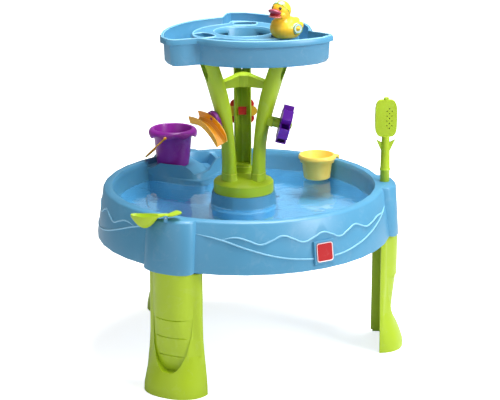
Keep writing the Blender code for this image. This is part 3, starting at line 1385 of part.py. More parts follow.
def make_bucket(origin):
    """Bucket with a drooping scalloped skirt, standing on the ledge, and its swinging bail."""
    foot = (BUCKET_X, BUCKET_Y, LEDGE_Z + CLEARANCE)
    stand = empty("bucket_stand", origin, foot, (0.0, 0.0, BAIL_AXIS_ANGLE))
    segments = 48
    top = BUCKET_HEIGHT
    under = top - 2.0 * BUCKET_WALL
    shoulder, edge = bucket_skirt()
    plain = [(BUCKET_FOOT_R - BUCKET_WALL / 2.0, 0.0, 0.0), (BUCKET_FOOT_R, BUCKET_WALL / 2.0, 0.0)]
    plain += [(bucket_radius(under), under, 0.0), (shoulder[0] - BUCKET_WALL, under, 0.0)]
    plain += [(edge[0] - BUCKET_WALL, edge[1], 1.0), (*edge, 1.0)]
    plain += [(*shoulder, 0.0), (BUCKET_MOUTH_R, top, 0.0)]
    plain += [(BUCKET_MOUTH_R - BUCKET_WALL, top - BUCKET_WALL / 2.0, 0.0)]
    plain += [(BUCKET_FOOT_R - BUCKET_WALL, BUCKET_WALL, 0.0)]
    rings = [[Vector((0.0, 0.0, 0.0))]]
    for radius, z, wave in plain:
        ring = []
        for i in range(segments):
            angle = 360.0 * i / segments
            swing = -BUCKET_WAVE * wave * math.cos(math.radians(BUCKET_WAVES * angle))
            ring.append(polar(radius + 0.4 * swing, angle, z + swing))
        rings.append(ring)
    rings.append([Vector((0.0, 0.0, BUCKET_WALL))])
    body = loft(rings)
    for side in (-90.0, 90.0):
        hole = bmesh.new()
        pivot = Matrix.Translation((0.0, 0.0, bucket_pivot_z())) @ turn(side, "Y")
        add_rod(hole, BAIL_R + CLEARANCE, BUCKET_MOUTH_R + BUCKET_WALL / 2.0, 2.0 * BAIL_REACH, 8, pivot)
        body = cut(body, hole)
    piece("bucket", body, PURPLE, stand)
    joint = empty("bail_pivot", stand, (0.0, 0.0, bucket_pivot_z()))
    piece("bucket_bail", bail_shape(), ORANGE, joint)


def bail_shape():
    """Bail: pins in the bucket's skirt, balls outside it and a wire bow, at rest below its pivots."""
    span = bail_span()
    down = math.radians(BAIL_REST_ANGLE)
    side = Vector((0.0, -math.cos(down), -math.sin(down)))
    normal = Vector((1.0, 0.0, 0.0)).cross(side)
    count = 20
    path = []
    for i in range(count + 1):
        angle = math.pi * i / count
        path.append(Vector((span * math.cos(angle), BAIL_REACH * math.sin(angle) ** 0.8)))
    path[0].y = 0.0
    path[-1].y = 0.0
    rings = []
    for i, spot in enumerate(path):
        along = (path[min(i + 1, count)] - path[max(i - 1, 0)]).normalized()
        if i in (0, count):
            along = Vector((0.0, 1.0 if i == 0 else -1.0))
        across = Vector((-along.y, along.x))
        ring = []
        for k in range(8):
            angle = math.radians(45.0 * k)
            flat = spot + across * BAIL_R * math.cos(angle)
            point = Vector((flat.x, 0.0, 0.0)) + side * flat.y + normal * BAIL_R * math.sin(angle)
            ring.append(point)
        rings.append(ring)
    body = loft(rings)
    for sign in (-1.0, 1.0):
        ball = Matrix.Translation((sign * span, 0.0, 0.0))
        body = fuse(body, egg(*(2.0 * BAIL_BALL_R,) * 3, ball, 12, 8))
        pin = bmesh.new()
        inside = span - BAIL_BALL_R - 1.6 * BUCKET_WALL
        add_rod(pin, BAIL_R, inside, span, 8, turn(sign * 90.0, "Y"))
        body = fuse(body, pin)
    return body


def make_cup(origin):
    """Cup hooked over the pool's rim."""
    radius = RIM_INNER_R - CUP_MOUTH_R - CUP_WALL_GAP
    stand = empty("cup_hook", origin, polar(radius, CUP_ANGLE, RIM_Z + CLEARANCE), (0.0, 0.0, CUP_ANGLE))
    low = -CUP_DEPTH
    ease = CUP_WALL
    flange = CUP_FLANGE
    profile = [(0.0, low), (CUP_FOOT_R - ease, low), (CUP_FOOT_R, low + ease), (CUP_MOUTH_R, 0.0)]
    profile += [(CUP_FLANGE_R - 1.5 * ease, 0.0), (CUP_FLANGE_R - 1.2 * ease, 0.45 * flange)]
    profile += [(CUP_FLANGE_R, 0.5 * flange), (CUP_FLANGE_R - 0.2 * ease, 0.8 * flange)]
    profile += [(CUP_FLANGE_R - ease, flange)]
    profile += [(CUP_MOUTH_R + ease, flange), (CUP_MOUTH_R - CUP_WALL, 0.0)]
    profile += [(CUP_FOOT_R - CUP_WALL, low + CUP_WALL), (0.0, low + CUP_WALL)]
    body = turned(profile, 26)
    hook = bmesh.new()
    half = HOOK_WIDTH / 2.0
    start = CUP_MOUTH_R + 2.0 * ease
    lip_in = RIM_OUTER_R - radius + 0.8 * HOOK_THICK
    lip_out = lip_in + HOOK_THICK
    add_box(hook, (start, -half, CLEARANCE), (lip_out, half, HOOK_THICK))
    lip = bmesh.new()
    add_box(lip, (lip_in, -half, -HOOK_LENGTH), (lip_out, half, HOOK_THICK / 2.0))
    body = fuse(fuse(body, hook), lip)
    piece("hook_cup", body, YELLOW, stand)


def make_paddle(origin):
    """Watering paddle: a stem in the socket, two leaves and a hollow head, filled from behind."""
    stand = empty("paddle_socket", origin, paddle_frame().translation, (0.0, 0.0, LEG_ANGLES[PADDLE_LEG]))
    low = CLEARANCE - SOCKET_DEPTH
    neck = HANDLE_TOP_Z - RIM_Z
    collar = HANDLE_COLLAR_Z - RIM_Z
    ease = 0.1 * HANDLE_R
    profile = [(0.0, low), (HANDLE_R - ease, low), (HANDLE_R, low + ease), (HANDLE_R, collar - 3.0 * ease)]
    profile += [(HANDLE_R + 1.5 * ease, collar), (HANDLE_R, collar + 3.0 * ease)]
    neck_r = 0.82 * HANDLE_R
    neck_end = HEAD_FOOT_Z - RIM_Z + 0.5 * HEAD_RIM
    profile += [(0.92 * HANDLE_R, neck - 0.8 * LEAF_HEIGHT), (neck_r, neck), (neck_r, neck_end), (0.0, neck_end)]
    body = turned(profile, 16)

    leaves = bmesh.new()
    for side in (-1.0, 1.0):
        root = neck - LEAF_HEIGHT
        inner = 0.5 * HANDLE_R
        outline = [(side * inner, root), (side * HANDLE_R, root + 0.3 * LEAF_HEIGHT)]
        outline += [(side * (HANDLE_R + LEAF_REACH), root + LEAF_HEIGHT), (side * inner, root + 0.75 * LEAF_HEIGHT)]
        add_prism(leaves, outline, -HEAD_RIM, HEAD_RIM, turn(90.0, "X"))
    bmesh.ops.recalc_face_normals(leaves, faces=leaves.faces)
    body = fuse(body, leaves)

    middle = (HEAD_FOOT_Z + HEAD_TOP_Z) / 2.0 - RIM_Z
    half_height = (HEAD_TOP_Z - HEAD_FOOT_Z) / 2.0
    half_width = HEAD_WIDTH / 2.0
    facing = Matrix.Translation((0.0, 0.0, middle)) @ turn(90.0, "X")
    head = bmesh.new()
    ring = rounded_ring(0.0, half_width, half_height, 0.0, 4.0, 20)
    add_prism(head, [(point.x, point.y) for point in ring], -HEAD_THICK / 2.0, HEAD_THICK / 2.0, facing)
    add_rod(head, HEAD_NUB_R, half_height - HEAD_RIM, half_height + HEAD_NUB, 10,
            Matrix.Translation((0.0, 0.0, middle)))
    body = fuse(body, head)

    tools = bmesh.new()
    ring = rounded_ring(0.0, half_width - HEAD_RIM, half_height - HEAD_RIM, 0.0, 4.0, 20)
    deep = HEAD_THICK / 2.0 - HEAD_RIM
    add_prism(tools, [(point.x, point.y) for point in ring], -deep, deep, facing)
    body = cut(body, tools)
    tools = bmesh.new()
    ring = rounded_ring(0.0, HEAD_FILL_WIDTH / 2.0, half_height - 3.0 * HEAD_RIM, 0.0, 4.0, 20)
    aside = facing @ Matrix.Translation((HEAD_FILL_WIDTH / 2.0 + 2.0 * HEAD_RIM - half_width, 0.0, 0.0))
    add_prism(tools, [(point.x, point.y) for point in ring], -HEAD_THICK, 0.0, aside)
    body = cut(body, tools)
    holes = bmesh.new()
    for k, count in enumerate(HEAD_HOLE_COLUMNS):
        for i in range(count):
            x = (k - (len(HEAD_HOLE_COLUMNS) - 1) / 2.0) * HEAD_HOLE_PITCH
            y = (i - (count - 1) / 2.0) * HEAD_HOLE_ROW
            spot = facing @ Matrix.Translation((x + HEAD_HOLE_SHIFT, y, 0.0))
            add_rod(holes, HEAD_HOLE_R, 0.0, HEAD_THICK, 6, spot)
    body = cut(body, holes)
    piece("watering_paddle", body, LIME, stand)


def egg(length, width, height, place, segments=16, rings=10):
    """Egg-shaped mesh of given size about its middle."""
    bm = bmesh.new()
    bmesh.ops.create_uvsphere(bm, u_segments=segments, v_segments=rings, radius=0.5)
    matrix = place @ Matrix.Diagonal((length, width, height, 1.0))
    bmesh.ops.transform(bm, matrix=matrix, verts=bm.verts)
    return bm


def make_duck(origin):
    """Bath duck, one hollow moulding, sitting on the tray's island with its beak forwards."""
    stand = empty("duck_seat", origin, polar(DUCK_R, DUCK_ANGLE, ISLAND_Z + CLEARANCE), (0.0, 0.0, DUCK_HEADING))
    half = DUCK_LENGTH / 2.0
    sink = 0.16 * DUCK_BODY_HEIGHT
    body_place = Matrix.Translation((0.0, 0.0, DUCK_BODY_HEIGHT / 2.0 - sink))
    body = egg(DUCK_LENGTH, DUCK_WIDTH, DUCK_BODY_HEIGHT, body_place, 16, 10)
    tail_place = Matrix.Translation((-0.78 * half, 0.0, 0.62 * DUCK_BODY_HEIGHT)) @ turn(35.0, "Y")
    body = fuse(body, egg(0.45 * DUCK_LENGTH, 0.4 * DUCK_WIDTH, 0.3 * DUCK_BODY_HEIGHT, tail_place, 10, 6))
    head_size = 2.0 * DUCK_HEAD_R
    head_place = Matrix.Translation((0.42 * half, 0.0, DUCK_HEIGHT - DUCK_HEAD_R))
    neck_place = head_place @ Matrix.Translation((-0.1 * DUCK_HEAD_R, 0.0, -0.85 * DUCK_HEAD_R))
    body = fuse(body, egg(0.85 * head_size, 0.8 * head_size, 0.9 * head_size, neck_place, 12, 6))
    body = fuse(body, egg(head_size, head_size, head_size, head_place, 14, 8))
    beak_place = head_place @ Matrix.Translation((0.95 * DUCK_HEAD_R, 0.0, -0.25 * DUCK_HEAD_R))
    body = fuse(body, egg(0.9 * head_size, 0.72 * head_size, 0.42 * head_size, beak_place, 10, 6))
    base = bmesh.new()
    add_box(base, (-DUCK_LENGTH, -DUCK_WIDTH, -DUCK_BODY_HEIGHT), (DUCK_LENGTH, DUCK_WIDTH, 0.0))
    body = cut(body, base)
    piece("bath_duck", body, DUCK_YELLOW, stand)


def make_drain(origin):
    """Drain plug in the pool floor, with a grip to pull it out."""
    stand = empty("drain_seat", origin, drain_frame().translation)
    stem_r = DRAIN_HOLE_R - CLEARANCE
    grip_r = 0.35 * DRAIN_FLANGE_R
    low = -WALL - DRAIN_FLANGE
    profile = [(0.0, low), (stem_r - DRAIN_FLANGE / 2.0, low), (stem_r, -WALL), (stem_r, CLEARANCE)]
    profile += [(DRAIN_FLANGE_R, CLEARANCE), (DRAIN_FLANGE_R, DRAIN_FLANGE / 2.0)]
    profile += [(DRAIN_FLANGE_R - DRAIN_FLANGE / 2.0, DRAIN_FLANGE), (grip_r, DRAIN_FLANGE)]
    profile += [(grip_r, DRAIN_GRIP), (0.0, DRAIN_GRIP)]
    piece("drain_plug", turned(profile, 16), BLUE, stand)


def seat_empty(name, post, origin):
    """Empty in the toy seat of one post: X out of the post, Z along it."""
    angle = POST_ANGLES[post]
    spot = turn(angle) @ Vector((post_outer(SEAT_Z), 0.0, SEAT_Z))
    return empty(name, origin, spot, (0.0, seat_lean(), angle))


def main():
    """Build the whole table."""
    clear_scene()
    origin = empty("table_origin", None, (0.0, CENTRE_SHIFT, 0.0))
    make_basin(origin)
    make_legs(origin)
    make_plate(origin)
    make_tower_base(origin)
    make_posts(origin)
    make_brace(origin)
    make_tray(origin)
    make_screws(origin)
    make_chute(seat_empty("seat_left", 0, origin))
    make_wheel(seat_empty("seat_right", 1, origin))
    make_spinner(seat_empty("seat_rear", 2, origin))
    make_flipper(origin)
    make_bucket(origin)
    make_cup(origin)
    make_paddle(origin)
    make_duck(origin)
    make_drain(origin)


main()
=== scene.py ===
import math

import bmesh
import bpy
from mathutils import Matrix, Vector
from mathutils.bvhtree import BVHTree


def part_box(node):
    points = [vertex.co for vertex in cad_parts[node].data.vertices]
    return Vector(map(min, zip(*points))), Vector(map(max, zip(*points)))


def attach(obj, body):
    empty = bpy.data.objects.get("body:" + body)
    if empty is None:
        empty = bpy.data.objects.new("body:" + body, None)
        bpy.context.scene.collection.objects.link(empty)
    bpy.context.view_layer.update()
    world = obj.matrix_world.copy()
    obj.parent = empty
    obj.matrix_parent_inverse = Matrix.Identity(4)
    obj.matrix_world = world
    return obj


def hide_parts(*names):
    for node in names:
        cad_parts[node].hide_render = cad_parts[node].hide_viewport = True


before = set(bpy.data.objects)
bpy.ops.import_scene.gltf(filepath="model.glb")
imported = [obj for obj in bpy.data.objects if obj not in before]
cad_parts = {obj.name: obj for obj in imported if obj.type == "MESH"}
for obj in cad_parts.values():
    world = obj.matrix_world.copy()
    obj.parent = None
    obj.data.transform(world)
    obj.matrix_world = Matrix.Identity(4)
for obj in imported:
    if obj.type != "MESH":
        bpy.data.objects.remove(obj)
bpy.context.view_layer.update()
scene = bpy.context.scene
low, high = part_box("tower_base")
TABLE_AXIS = Vector((0.0, (low.y + high.y) / 2.0, 0.0))

# Studio. A white sweep under the table, one large soft key on the viewer's right, a weak fill on the left,
# a soft lamp overhead and an even surround.
# The camera stands where the photograph was taken from, with a long lens.
CAMERA_FROM_AXIS = Vector((1.9711, -3.7509, 1.6128))
CAMERA_LOOK = Vector((-0.4436, 0.8520, -0.2781))
CAMERA_LENS = 126.01
CAMERA_SENSOR = 36.0
WHITE = (1.0, 1.0, 1.0, 1.0)
PAPER = (0.86, 0.86, 0.86, 1.0)
SURROUND_LIGHT = 0.23
SURROUND_SEEN = 1.0
SWEEP_R = 9.0
SWEEP_DROP = 0.0005
LIFT_NEAR_R, LIFT_FAR_R = 0.45, 1.70
LIFT_NEAR, LIFT_FAR = 0.74, 1.0

scene.view_settings.view_transform = "Standard"

photo_eye = bpy.data.cameras.new("photo_eye")
photo_eye.sensor_width = CAMERA_SENSOR
photo_eye.lens = CAMERA_LENS
camera = bpy.data.objects.new("photo_eye", photo_eye)
camera.location = TABLE_AXIS + CAMERA_FROM_AXIS
camera.rotation_euler = CAMERA_LOOK.to_track_quat("-Z", "Y").to_euler()
scene.collection.objects.link(camera)
scene.camera = camera


def softbox(name, place, aim, size, power):
    """A square area lamp that looks from place to aim."""
    lamp = bpy.data.lights.new(name, "AREA")
    lamp.shape = "SQUARE"
    lamp.size = size
    lamp.energy = power
    stand = bpy.data.objects.new(name, lamp)
    stand.location = place
    stand.rotation_euler = (Vector(aim) - Vector(place)).to_track_quat("-Z", "Y").to_euler()
    scene.collection.objects.link(stand)


def placed(tree, kind, values=(), **settings):
    """A shader node in a tree, with its settings and the values of its sockets."""
    made = tree.nodes.new(kind)
    for name, setting in settings.items():
        setattr(made, name, setting)
    for socket, value in dict(values).items():
        made.inputs[socket].default_value = value
    return made


def wire(tree, *pairs):
    """Links in a shader tree, each from an output to an input."""
    for start, end in pairs:
        tree.links.new(start, end)


def seen_straight(tree):
    """A mask that is 1 for what the camera sees straight or through something clear."""
    path = placed(tree, "ShaderNodeLightPath")
    either = placed(tree, "ShaderNodeMath", operation="MAXIMUM")
    wire(tree,
         (path.outputs["Is Camera Ray"], either.inputs[0]),
         (path.outputs["Is Transmission Ray"], either.inputs[1]))
    return either.outputs[0]


softbox("key_lamp", (3.3, -0.2, 2.3), (0.0, 0.0, 0.45), 1.3, 88.0)
softbox("fill_lamp", (-0.6, -3.8, 1.5), (0.0, 0.0, 0.40), 2.4, 17.0)
softbox("top_lamp", (0.5, 0.3, 3.2), (0.0, 0.0, 0.5), 1.6, 128.0)

surround = bpy.data.worlds.new("surround")
surround.use_nodes = True
scene.world = surround
tree = surround.node_tree
tree.nodes.clear()
lights_it = placed(tree, "ShaderNodeBackground", {"Color": WHITE, "Strength": SURROUND_LIGHT})
shows_white = placed(tree, "ShaderNodeBackground", {"Color": WHITE, "Strength": SURROUND_SEEN})
choose = placed(tree, "ShaderNodeMixShader")
out = placed(tree, "ShaderNodeOutputWorld")
wire(tree,
     (seen_straight(tree), choose.inputs[0]),
     (lights_it.outputs[0], choose.inputs[1]),
     (shows_white.outputs[0], choose.inputs[2]),
     (choose.outputs[0], out.inputs["Surface"]))

sweep_white = bpy.data.materials.new("sweep_white")
sweep_white.use_nodes = True
tree = sweep_white.node_tree
tree.nodes.clear()
paper = placed(tree, "ShaderNodeBsdfDiffuse", {"Color": PAPER})
where = placed(tree, "ShaderNodeTexCoord")
away = placed(tree, "ShaderNodeVectorMath", operation="LENGTH")
fade = placed(tree, "ShaderNodeMapRange", {"From Min": LIFT_NEAR_R, "From Max": LIFT_FAR_R,
                                           "To Min": LIFT_NEAR, "To Max": LIFT_FAR})
lift = placed(tree, "ShaderNodeMath", operation="MULTIPLY")
glow = placed(tree, "ShaderNodeEmission")
both = placed(tree, "ShaderNodeAddShader")
out = placed(tree, "ShaderNodeOutputMaterial")
wire(tree,
     (where.outputs["Object"], away.inputs[0]),
     (away.outputs["Value"], fade.inputs["Value"]),
     (seen_straight(tree), lift.inputs[0]),
     (fade.outputs["Result"], lift.inputs[1]),
     (lift.outputs[0], glow.inputs["Strength"]),
     (paper.outputs[0], both.inputs[0]),
     (glow.outputs[0], both.inputs[1]),
     (both.outputs[0], out.inputs["Surface"]))

form = bmesh.new()
bmesh.ops.create_circle(form, cap_ends=True, segments=96, radius=SWEEP_R,
                        matrix=Matrix.Translation((0.0, 0.0, -SWEEP_DROP)))
sweep_mesh = bpy.data.meshes.new("white_sweep")
form.to_mesh(sweep_mesh)
form.free()
sweep_mesh.materials.append(sweep_white)
white_sweep = bpy.data.objects.new("white_sweep", sweep_mesh)
scene.collection.objects.link(white_sweep)

# Legs. Three hollow blow-moulded lime legs of polyethylene, open towards the middle and screwed up into the
# bosses of the pool.
# Each face carries a sunk tongue with three shallow grooves pressed across it.
LEG_TURNS = (("leg_front", -90.0), ("leg_right", 30.0), ("leg_rear", 150.0))
TONGUE_FOOT_Z, TONGUE_RISE, TONGUE_HALF = 0.057, 0.135, 0.0535
TONGUE_POWER = 0.4
GROOVES = (0.1895, 0.1440, 0.0970)
GROOVE_HALF = 0.0018
GROOVE_SINK = 0.0017
GROOVE_SHY = 0.0055
GROOVE_FACING = 0.55
LEG_CREASE = 34.0
WELD_DIST = 2e-6
CUT_DIST = 1e-6
FLAT_ANGLE = 0.3
CRISP_CREASE = 18.0
PEBBLE_SCALE = 900.0
PEBBLE_HEIGHT = 0.0006


def tint(red, green, blue):
    """A colour picked on screen, as the shader's linear values."""
    shares = (value / 255.0 for value in (red, green, blue))
    return tuple(s / 12.92 if s <= 0.04045 else ((s + 0.055) / 1.055) ** 2.4 for s in shares) + (1.0,)


def moulded_skin():
    """The skin of a moulded plastic: fine pebble of the tool's face, slow drift of pigment, rubbed marks."""
    skin = bpy.data.node_groups.new("moulded_skin", "ShaderNodeTree")
    face = skin.interface
    face.new_socket("Place", in_out="INPUT", socket_type="NodeSocketVector")
    face.new_socket("Pigment", in_out="INPUT", socket_type="NodeSocketColor")
    for name, start in (("Pebble Scale", PEBBLE_SCALE), ("Drift", 0.05), ("Gloss", 0.38), ("Rub", 0.10)):
        face.new_socket(name, in_out="INPUT", socket_type="NodeSocketFloat").default_value = start
    face.new_socket("Colour", in_out="OUTPUT", socket_type="NodeSocketColor")
    face.new_socket("Roughness", in_out="OUTPUT", socket_type="NodeSocketFloat")
    face.new_socket("Height", in_out="OUTPUT", socket_type="NodeSocketFloat")
    given = placed(skin, "NodeGroupInput")
    gives = placed(skin, "NodeGroupOutput")

    slow = placed(skin, "ShaderNodeTexNoise", {"Scale": 11.0, "Detail": 3.0})
    centred = placed(skin, "ShaderNodeMath", {1: 0.5}, operation="SUBTRACT")
    stretched = placed(skin, "ShaderNodeMath", {1: 2.4}, operation="MULTIPLY")
    swing = placed(skin, "ShaderNodeMath", {2: 1.0}, operation="MULTIPLY_ADD")
    shade = placed(skin, "ShaderNodeHueSaturation")
    wire(skin,
         (given.outputs["Place"], slow.inputs["Vector"]),
         (slow.outputs["Fac"], centred.inputs[0]),
         (given.outputs["Drift"], stretched.inputs[0]),
         (centred.outputs[0], swing.inputs[0]),
         (stretched.outputs[0], swing.inputs[1]),
         (swing.outputs[0], shade.inputs["Value"]),
         (given.outputs["Pigment"], shade.inputs["Color"]))

    rubbed = placed(skin, "ShaderNodeTexNoise", {"Scale": 34.0, "Detail": 6.0, "Roughness": 0.68,
                                                 "Distortion": 0.8})
    marks = placed(skin, "ShaderNodeMapRange", {"From Min": 0.54, "From Max": 0.70})
    dull = placed(skin, "ShaderNodeMath", operation="MULTIPLY_ADD")
    faint = placed(skin, "ShaderNodeMath", {1: 0.045}, operation="MULTIPLY")
    paler = placed(skin, "ShaderNodeMix", {"B": (0.80, 0.80, 0.80, 1.0)}, data_type="RGBA")
    wire(skin,
         (given.outputs["Place"], rubbed.inputs["Vector"]),
         (rubbed.outputs["Fac"], marks.inputs["Value"]),
         (marks.outputs["Result"], dull.inputs[0]),
         (given.outputs["Rub"], dull.inputs[1]),
         (given.outputs["Gloss"], dull.inputs[2]),
         (dull.outputs[0], gives.inputs["Roughness"]),
         (marks.outputs["Result"], faint.inputs[0]),
         (faint.outputs[0], paler.inputs["Factor"]),
         (shade.outputs["Color"], paler.inputs["A"]),
         (paler.outputs["Result"], gives.inputs["Colour"]))

    pebble = placed(skin, "ShaderNodeTexNoise", {"Detail": 2.0})
    wire(skin,
         (given.outputs["Place"], pebble.inputs["Vector"]),
         (given.outputs["Pebble Scale"], pebble.inputs["Scale"]),
         (pebble.outputs["Fac"], gives.inputs["Height"]))
    return skin


SKIN = moulded_skin()


def plastic(name, pigment, gloss, pebble=PEBBLE_SCALE, depth=0.12, drift=0.05, rub=0.10):
    """A moulded plastic of one pigment, with the shared skin."""
    finish = bpy.data.materials.new(name)
    finish.use_nodes = True
    tree = finish.node_tree
    shader = tree.nodes["Principled BSDF"]
    where = placed(tree, "ShaderNodeTexCoord")
    skin = placed(tree, "ShaderNodeGroup", {"Pigment": pigment, "Pebble Scale": pebble, "Drift": drift,
                                            "Gloss": gloss, "Rub": rub}, node_tree=SKIN)
    bump = placed(tree, "ShaderNodeBump", {"Strength": depth, "Distance": PEBBLE_HEIGHT})
    wire(tree,
         (where.outputs["Object"], skin.inputs["Place"]),
         (skin.outputs["Colour"], shader.inputs["Base Color"]),
         (skin.outputs["Roughness"], shader.inputs["Roughness"]),
         (skin.outputs["Height"], bump.inputs["Height"]),
         (bump.outputs["Normal"], shader.inputs["Normal"]))
    return finish


def weld(node, whole=True):
    """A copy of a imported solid, its loose triangles joined and, if asked, its flat faces made whole."""
    copy = bmesh.new()
    copy.from_mesh(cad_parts[node].data)
    bmesh.ops.remove_doubles(copy, verts=copy.verts, dist=WELD_DIST)
    if whole:
        bmesh.ops.dissolve_limit(copy, angle_limit=math.radians(FLAT_ANGLE), verts=copy.verts,
                                 edges=copy.edges)
    return copy


def level_cut(form, height):
    """Cut a bmesh along a level plane and give back what lies in the cut."""
    everything = form.verts[:] + form.edges[:] + form.faces[:]
    return bmesh.ops.bisect_plane(form, geom=everything, dist=CUT_DIST, plane_co=(0.0, 0.0, height),
                                  plane_no=(0.0, 0.0, 1.0))["geom_cut"]


def settle(name, form, finish, body, nodes=(), slot=None, crease=30.0, round_off=0.0, rubbed=False, crisp=None,
           even=False):
    """Turn a finished bmesh into a piece that rides on its body and stands for its nodes.
    Rounded edges can take the finish's second material, a paler pigment that paints a highlight along them and
    also stands for wear.
    Edges where crisp holds break sooner."""
    for face in form.faces:
        face.smooth = True
    for edge in form.edges:
        near = crisp is not None and crisp((edge.verts[0].co + edge.verts[1].co) / 2.0)
        edge.smooth = edge.calc_face_angle(0.0) < math.radians(CRISP_CREASE if near else crease)
    mesh = bpy.data.meshes.new(name)
    form.to_mesh(mesh)
    form.free()
    for paint in (finish if isinstance(finish, (list, tuple)) else [finish]):
        mesh.materials.append(paint)
    piece = bpy.data.objects.new(name, mesh)
    scene.collection.objects.link(piece)
    if round_off:
        soft = piece.modifiers.new("round_off", "BEVEL")
        soft.width = round_off
        soft.segments = 3
        soft.limit_method = "ANGLE"
        soft.angle_limit = math.radians(crease)
        soft.use_clamp_overlap = True
        soft.harden_normals = True
        # The second material on rounded edges is a painted highlight that also stands for wear.
        soft.material = 1 if rubbed else -1
    if even:
        shade = piece.modifiers.new("even_shade", "WEIGHTED_NORMAL")
        shade.mode = "FACE_AREA_WITH_ANGLE"
        shade.keep_sharp = True
    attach(piece, body)
    if nodes:
        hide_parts(*nodes)
    return piece


lime = plastic("lime_polyethylene", tint(168, 196, 24), 0.42)
# The paler lime paints highlights on rounded edges and seams, and also stands for wear.
lime_highlight_and_wear = plastic("lime_rubbed", tint(204, 224, 70), 0.44)

for node, turn in LEG_TURNS:
    form = weld(node, whole=False)
    upright = Matrix.Rotation(math.radians(-turn), 4, "Z") @ Matrix.Translation(-TABLE_AXIS)
    bmesh.ops.transform(form, matrix=upright, verts=form.verts)
    for height in GROOVES:
        left = 1.0 - (height - TONGUE_FOOT_Z) / TONGUE_RISE
        reach = TONGUE_HALF * (1.0 - left * left) ** TONGUE_POWER - GROOVE_SHY
        for level in (height - GROOVE_HALF, height, height + GROOVE_HALF):
            level_cut(form, level)
        for side in (-reach, reach):
            band = [face for face in form.faces
                    if all(abs(vert.co.z - height) < GROOVE_HALF + 1e-5 for vert in face.verts)]
            strip = {edge for face in band for edge in face.edges}
            strip |= {vert for face in band for vert in face.verts}
            bmesh.ops.bisect_plane(form, geom=band + list(strip), dist=CUT_DIST,
                                   plane_co=(0.0, side, 0.0), plane_no=(0.0, 1.0, 0.0))
        form.normal_update()
        for vert in form.verts:
            inside = abs(vert.co.z - height) < 1e-5 and abs(vert.co.y) < reach - 1e-4
            if inside and vert.normal.x > GROOVE_FACING:
                vert.co -= GROOVE_SINK * vert.normal
    bmesh.ops.transform(form, matrix=upright.inverted(), verts=form.verts)
    settle(node + "_moulding", form, lime, "table", [node], "lime_plastic", crease=LEG_CREASE, even=True)

# Pool. One blow-moulded sky-blue basin of polyethylene: a double-walled skirt, a rounded rim, three bosses over
# the legs, a pedestal for the tower and a raised corner pool that spills over.
# Raised beads of the same moulding run round the skirt, painted paler blue as a highlight that also stands for
# wear.
SKIRT_TOP_R, SKIRT_FOOT_R = 0.352, 0.369
SKIRT_TOP_Z, SKIRT_FOOT_Z = 0.432, 0.309
POOL_CREASE = 48.0
PEDESTAL_CRISP_R = 0.10
BEAD_R = 0.0021
BEAD_SUNK = 0.45
BEAD_END = 0.35
BEAD_CREASE = 60.0
SWOOSH = ((-81.0, 0.4020), (-71.0, 0.3912), (-60.3, 0.3693), (-50.7, 0.3510), (-42.0, 0.3405), (-33.0, 0.3355),
          (-23.5, 0.3355), (-13.5, 0.3450), (-3.8, 0.3590), (4.6, 0.3735), (11.1, 0.3850), (16.0, 0.3915))
WAVE = ((-71.0, 0.3912), (-65.1, 0.3975), (-60.5, 0.3900), (-56.0, 0.3805), (-51.6, 0.3890), (-47.4, 0.3983),
        (-43.0, 0.3885), (-39.1, 0.3790), (-34.8, 0.3870), (-30.7, 0.3955), (-26.5, 0.3865), (-22.8, 0.3775),
        (-18.4, 0.3860), (-14.1, 0.3950), (-10.0, 0.3860), (-6.3, 0.3785), (-1.5, 0.3820), (3.0, 0.3875),
        (8.0, 0.3862), (11.1, 0.3850))


def from_axis(spot):
    """How far a spot stands from the table's upright axis."""
    return (Vector((spot.x, spot.y, 0.0)) - TABLE_AXIS).length


def on_skirt(angle, height):
    """A point just under the skirt's outer face."""
    share = (SKIRT_TOP_Z - height) / (SKIRT_TOP_Z - SKIRT_FOOT_Z)
    radius = SKIRT_TOP_R + (SKIRT_FOOT_R - SKIRT_TOP_R) * share - BEAD_SUNK * BEAD_R
    around = math.radians(angle)
    return TABLE_AXIS + Vector((radius * math.cos(around), radius * math.sin(around), height))


def bar_line(thick, roundness):
    """An empty curve with the round section of a bead or a lip."""
    line = bpy.data.curves.new("bar_line", "CURVE")
    line.dimensions = "3D"
    line.bevel_depth = thick
    line.bevel_resolution = roundness
    return line


def lay_bar(form, line):
    """Add the round bar of a curve to a bmesh, and put the curve away."""
    carrier = bpy.data.objects.new("bar_line", line)
    scene.collection.objects.link(carrier)
    bpy.context.view_layer.update()
    bar = bpy.data.meshes.new_from_object(carrier.evaluated_get(bpy.context.evaluated_depsgraph_get()))
    form.from_mesh(bar)
    bpy.data.objects.remove(carrier)
    bpy.data.curves.remove(line)
    bpy.data.meshes.remove(bar)


def lay_bead(form, points):
    """A round bead through the points, thinner at its two ends, added to a bmesh."""
    line = bar_line(BEAD_R, 3)
    line.resolution_u = 6
    line.use_fill_caps = True
    path = line.splines.new("BEZIER")
    path.bezier_points.add(len(points) - 1)
    for knot, point in zip(path.bezier_points, points):
        knot.co = point
        knot.handle_left_type = knot.handle_right_type = "AUTO"
    path.bezier_points[0].radius = path.bezier_points[-1].radius = BEAD_END
    lay_bar(form, line)


sky = plastic("sky_polyethylene", tint(80, 147, 184), 0.36)
# The paler blue paints highlights on beads, lips and rounded edges, and also stands for wear.
sky_highlight_and_wear = plastic("sky_rubbed", tint(132, 192, 222), 0.40)
settle("pool_moulding", weld("basin"), sky, "table", ["basin"], "blue_plastic", crease=POOL_CREASE,
       crisp=lambda spot: from_axis(spot) < PEDESTAL_CRISP_R)

beads = bmesh.new()
for start, way in ((0.0, 1.0), (-180.0, -1.0), (120.0, 1.0)):
    for line in (SWOOSH, WAVE):
        lay_bead(beads, [on_skirt(start + way * angle, height) for angle, height in line])
settle("skirt_beads", beads, sky_highlight_and_wear, "table", slot="blue_plastic", crease=BEAD_CREASE)

